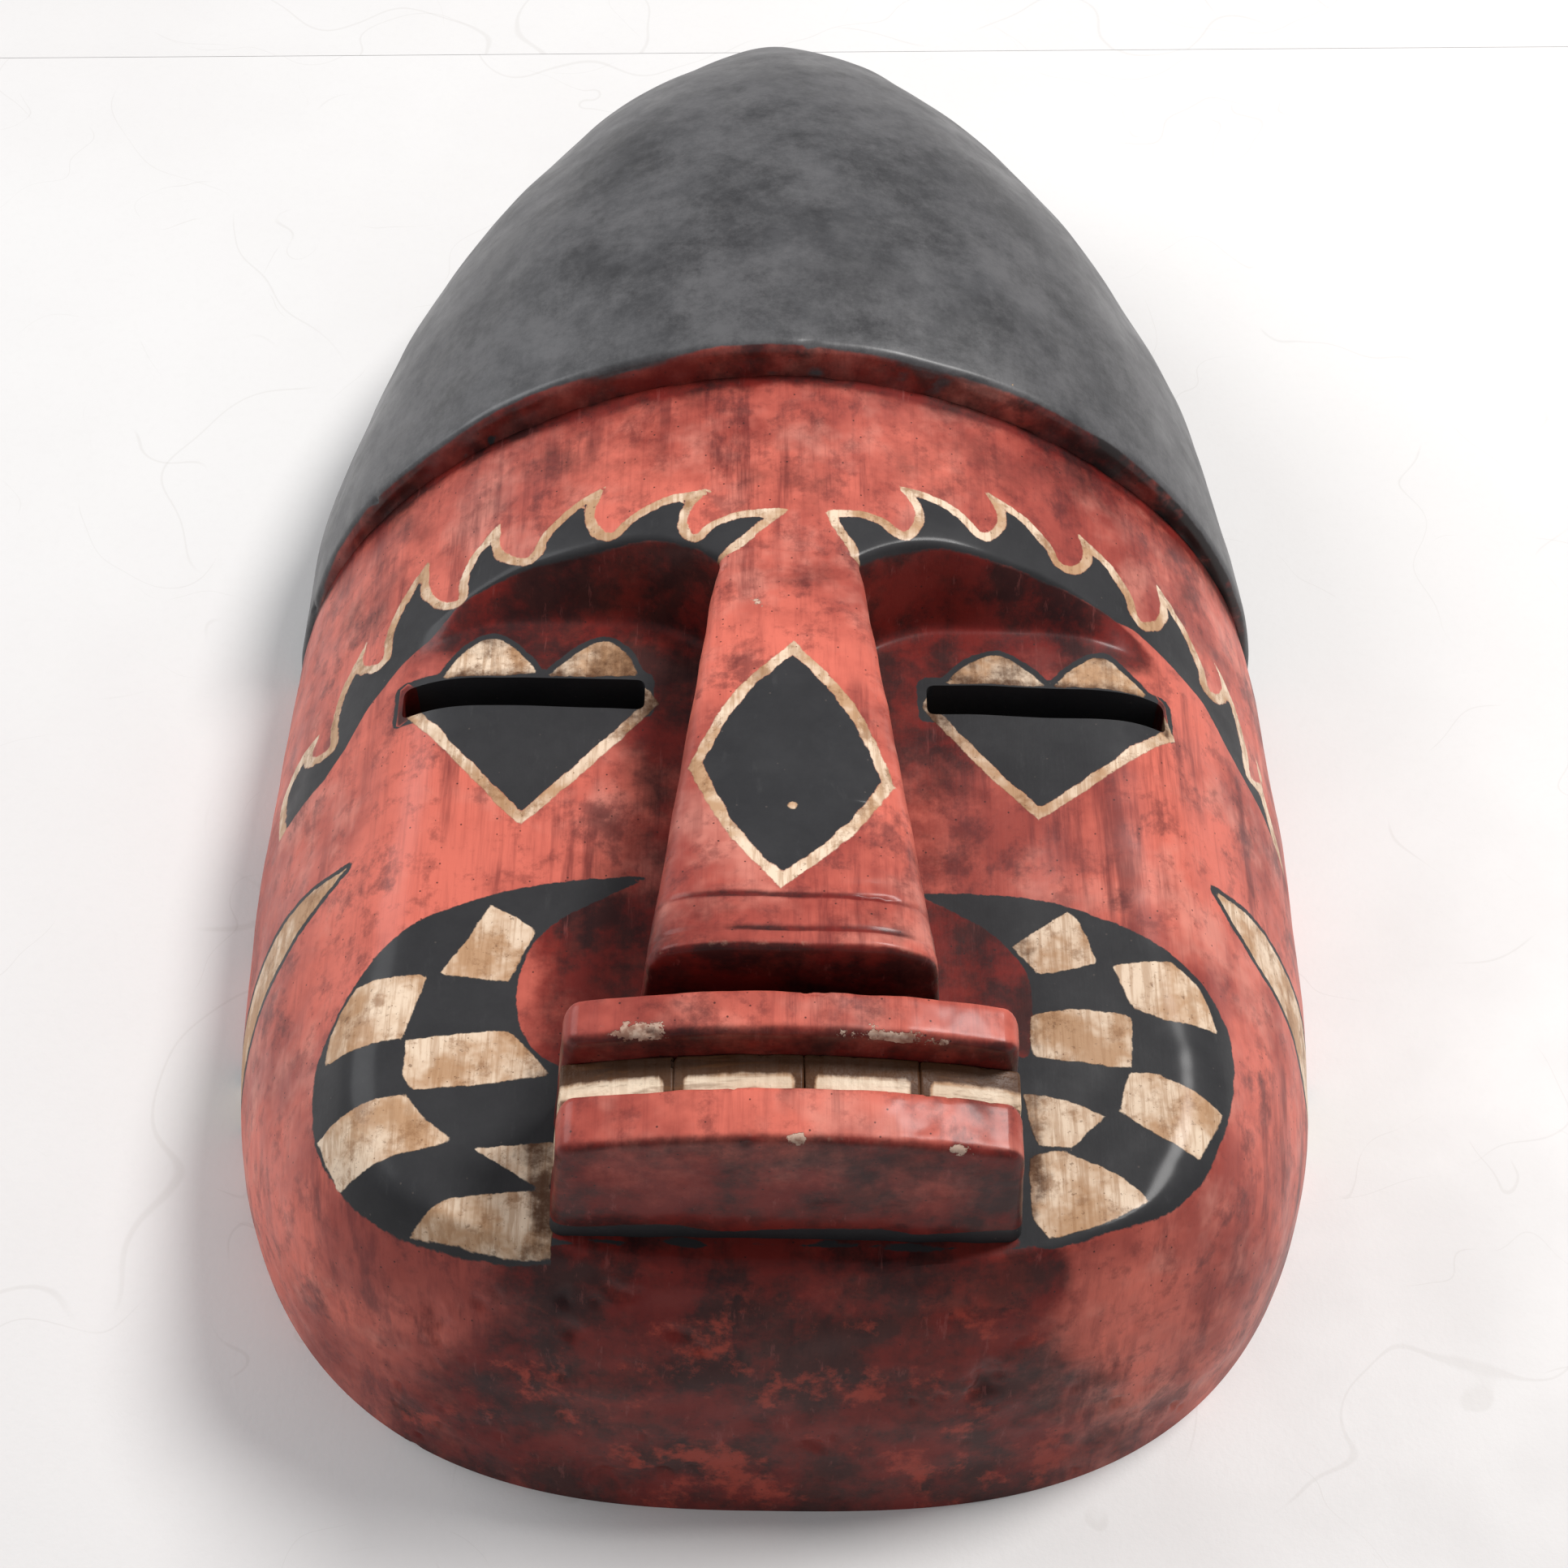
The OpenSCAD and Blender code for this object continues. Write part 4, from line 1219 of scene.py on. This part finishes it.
def build_mask():
    paint = paint_material()
    stained = wood_material("stained_hollow", (0.30, 0.17, 0.085), (0.20, 0.105, 0.05))
    hand_in(face_piece(paint, stained), "face_shell")
    hand_in(cap_piece(cap_material(), stained), "crown")
    hand_in(nose_piece(paint), "nose")
    upper = lip_piece("upper_lip_block", TEETH_BACK_Y, 0, UPPER_BACK_Y, LIP_H + LIP_STEP, paint, 71,
                      [((-23, 6.5), (TEETH_BACK_Y + 0.8, 1.6)), ((16, 9), (TEETH_BACK_Y + 0.2, 0.8))])
    hand_in(upper, "upper_lip")
    lower = lip_piece("lower_lip_block", LIP_FRONT_Y, LIP_RAKE, LOWER_BACK_Y, LIP_H, paint, 75,
                      [((0.5, 2), (-149.5, 1)), ((25, 2.2), (-149.6, 1))])
    hand_in(lower, "lower_lip")
    teeth = tooth_material()
    for index in range(4):
        hand_in(tooth_piece(index, teeth), f"tooth_{index + 1}")
    steel = steel_material()
    for node in ("hanger_plate", "hanger_screws"):
        piece = bevelled_copy(node, HARDWARE_BEVEL)
        repaint(piece, steel)
        hand_in(piece, node)
    pegs = wood_material("peg_wood", (0.52, 0.34, 0.18), (0.40, 0.24, 0.12))
    for node in ("crown_pegs", "nose_pegs", "lip_pegs"):
        repaint(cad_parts[node], pegs)
    repaint(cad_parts["hanger_ring"], steel)


# ---------------------------------------------------------------- table, light and camera
CAMERA_PLACE = (-0.0120, -0.3246, 0.438)
CAMERA_TURN = (55, 2.54, 3.13)
LENS_MM = 59.63
# The table ends just beyond the mask, and another white board lies behind it
TABLE_CORNERS = ((-2, -2), (2, -2), (2, 0.310), (-2, 0.111))
BOARD_CORNERS = ((-2, 0.116), (2, 0.315), (2, 3), (-2, 3))
FLOOR_CORNERS = ((-4, -4), (4, -4), (4, 5), (-4, 5))
LAMP_AIM = (0, 0, 0.03)


def plane(name, corners, z, material):
    mesh = bpy.data.meshes.new(name)
    mesh.from_pydata([(x, y, z) for x, y in corners], [], [(0, 1, 2, 3)])
    mesh.materials.append(material)
    piece = bpy.data.objects.new(name, mesh)
    bpy.context.scene.collection.objects.link(piece)


def placed(thing, side, up, direction, place):
    """Turns a lamp or a camera to look along direction from its place."""
    columns = [[*side, 0], [*up, 0], [*(-direction), 0], [*place, 1]]
    thing.matrix_world = Matrix(np.column_stack(columns).tolist())
    bpy.context.scene.collection.objects.link(thing)


def lamp(name, place, size, power, colour):
    light = bpy.data.lights.new(name, "AREA")
    light.shape = "DISK"
    light.size = size
    light.energy = power
    light.color = colour
    thing = bpy.data.objects.new(name, light)
    direction = np.array(LAMP_AIM, float) - np.array(place, float)
    direction /= np.linalg.norm(direction)
    side = np.cross(direction, (0, 1, 0))
    side /= np.linalg.norm(side)
    up = np.cross(side, direction)
    placed(thing, side, up, direction, place)


def build_stage():
    table = table_material()
    plane("table", TABLE_CORNERS, 0, table)
    plane("next_board", BOARD_CORNERS, -0.004, table)
    plane("floor_below", FLOOR_CORNERS, -0.03, table)
    lamp("key", (0.55, 0.28, 1.05), 0.36, 12.5, (1.0, 0.985, 0.97))
    lamp("window", (-1.1, 0.45, 0.75), 0.8, 9, (0.97, 0.985, 1.0))
    world = bpy.data.worlds.new("studio")
    world.use_nodes = True
    world.node_tree.nodes["Background"].inputs["Color"].default_value = (0.97, 0.97, 1.0, 1)
    world.node_tree.nodes["Background"].inputs["Strength"].default_value = 0.36
    bpy.context.scene.world = world


def build_camera():
    """Looks down at 55 degrees from below the chin, a little from the left and slightly rolled."""
    down, yaw, roll = (math.radians(angle) for angle in CAMERA_TURN)
    forward = np.array([math.sin(yaw) * math.cos(down), math.cos(yaw) * math.cos(down), -math.sin(down)])
    right = np.array([math.cos(yaw), -math.sin(yaw), 0])
    up = np.cross(right, forward)
    right, up = (math.cos(roll) * right + math.sin(roll) * up, math.cos(roll) * up - math.sin(roll) * right)
    lens = bpy.data.cameras.new("camera")
    lens.sensor_width = 36
    lens.lens = LENS_MM
    lens.clip_start = 0.01
    camera = bpy.data.objects.new("camera", lens)
    placed(camera, right, up, forward, CAMERA_PLACE)
    bpy.context.scene.camera = camera


bpy.context.scene.view_settings.view_transform = "Standard"
build_mask()
build_stage()
build_camera()
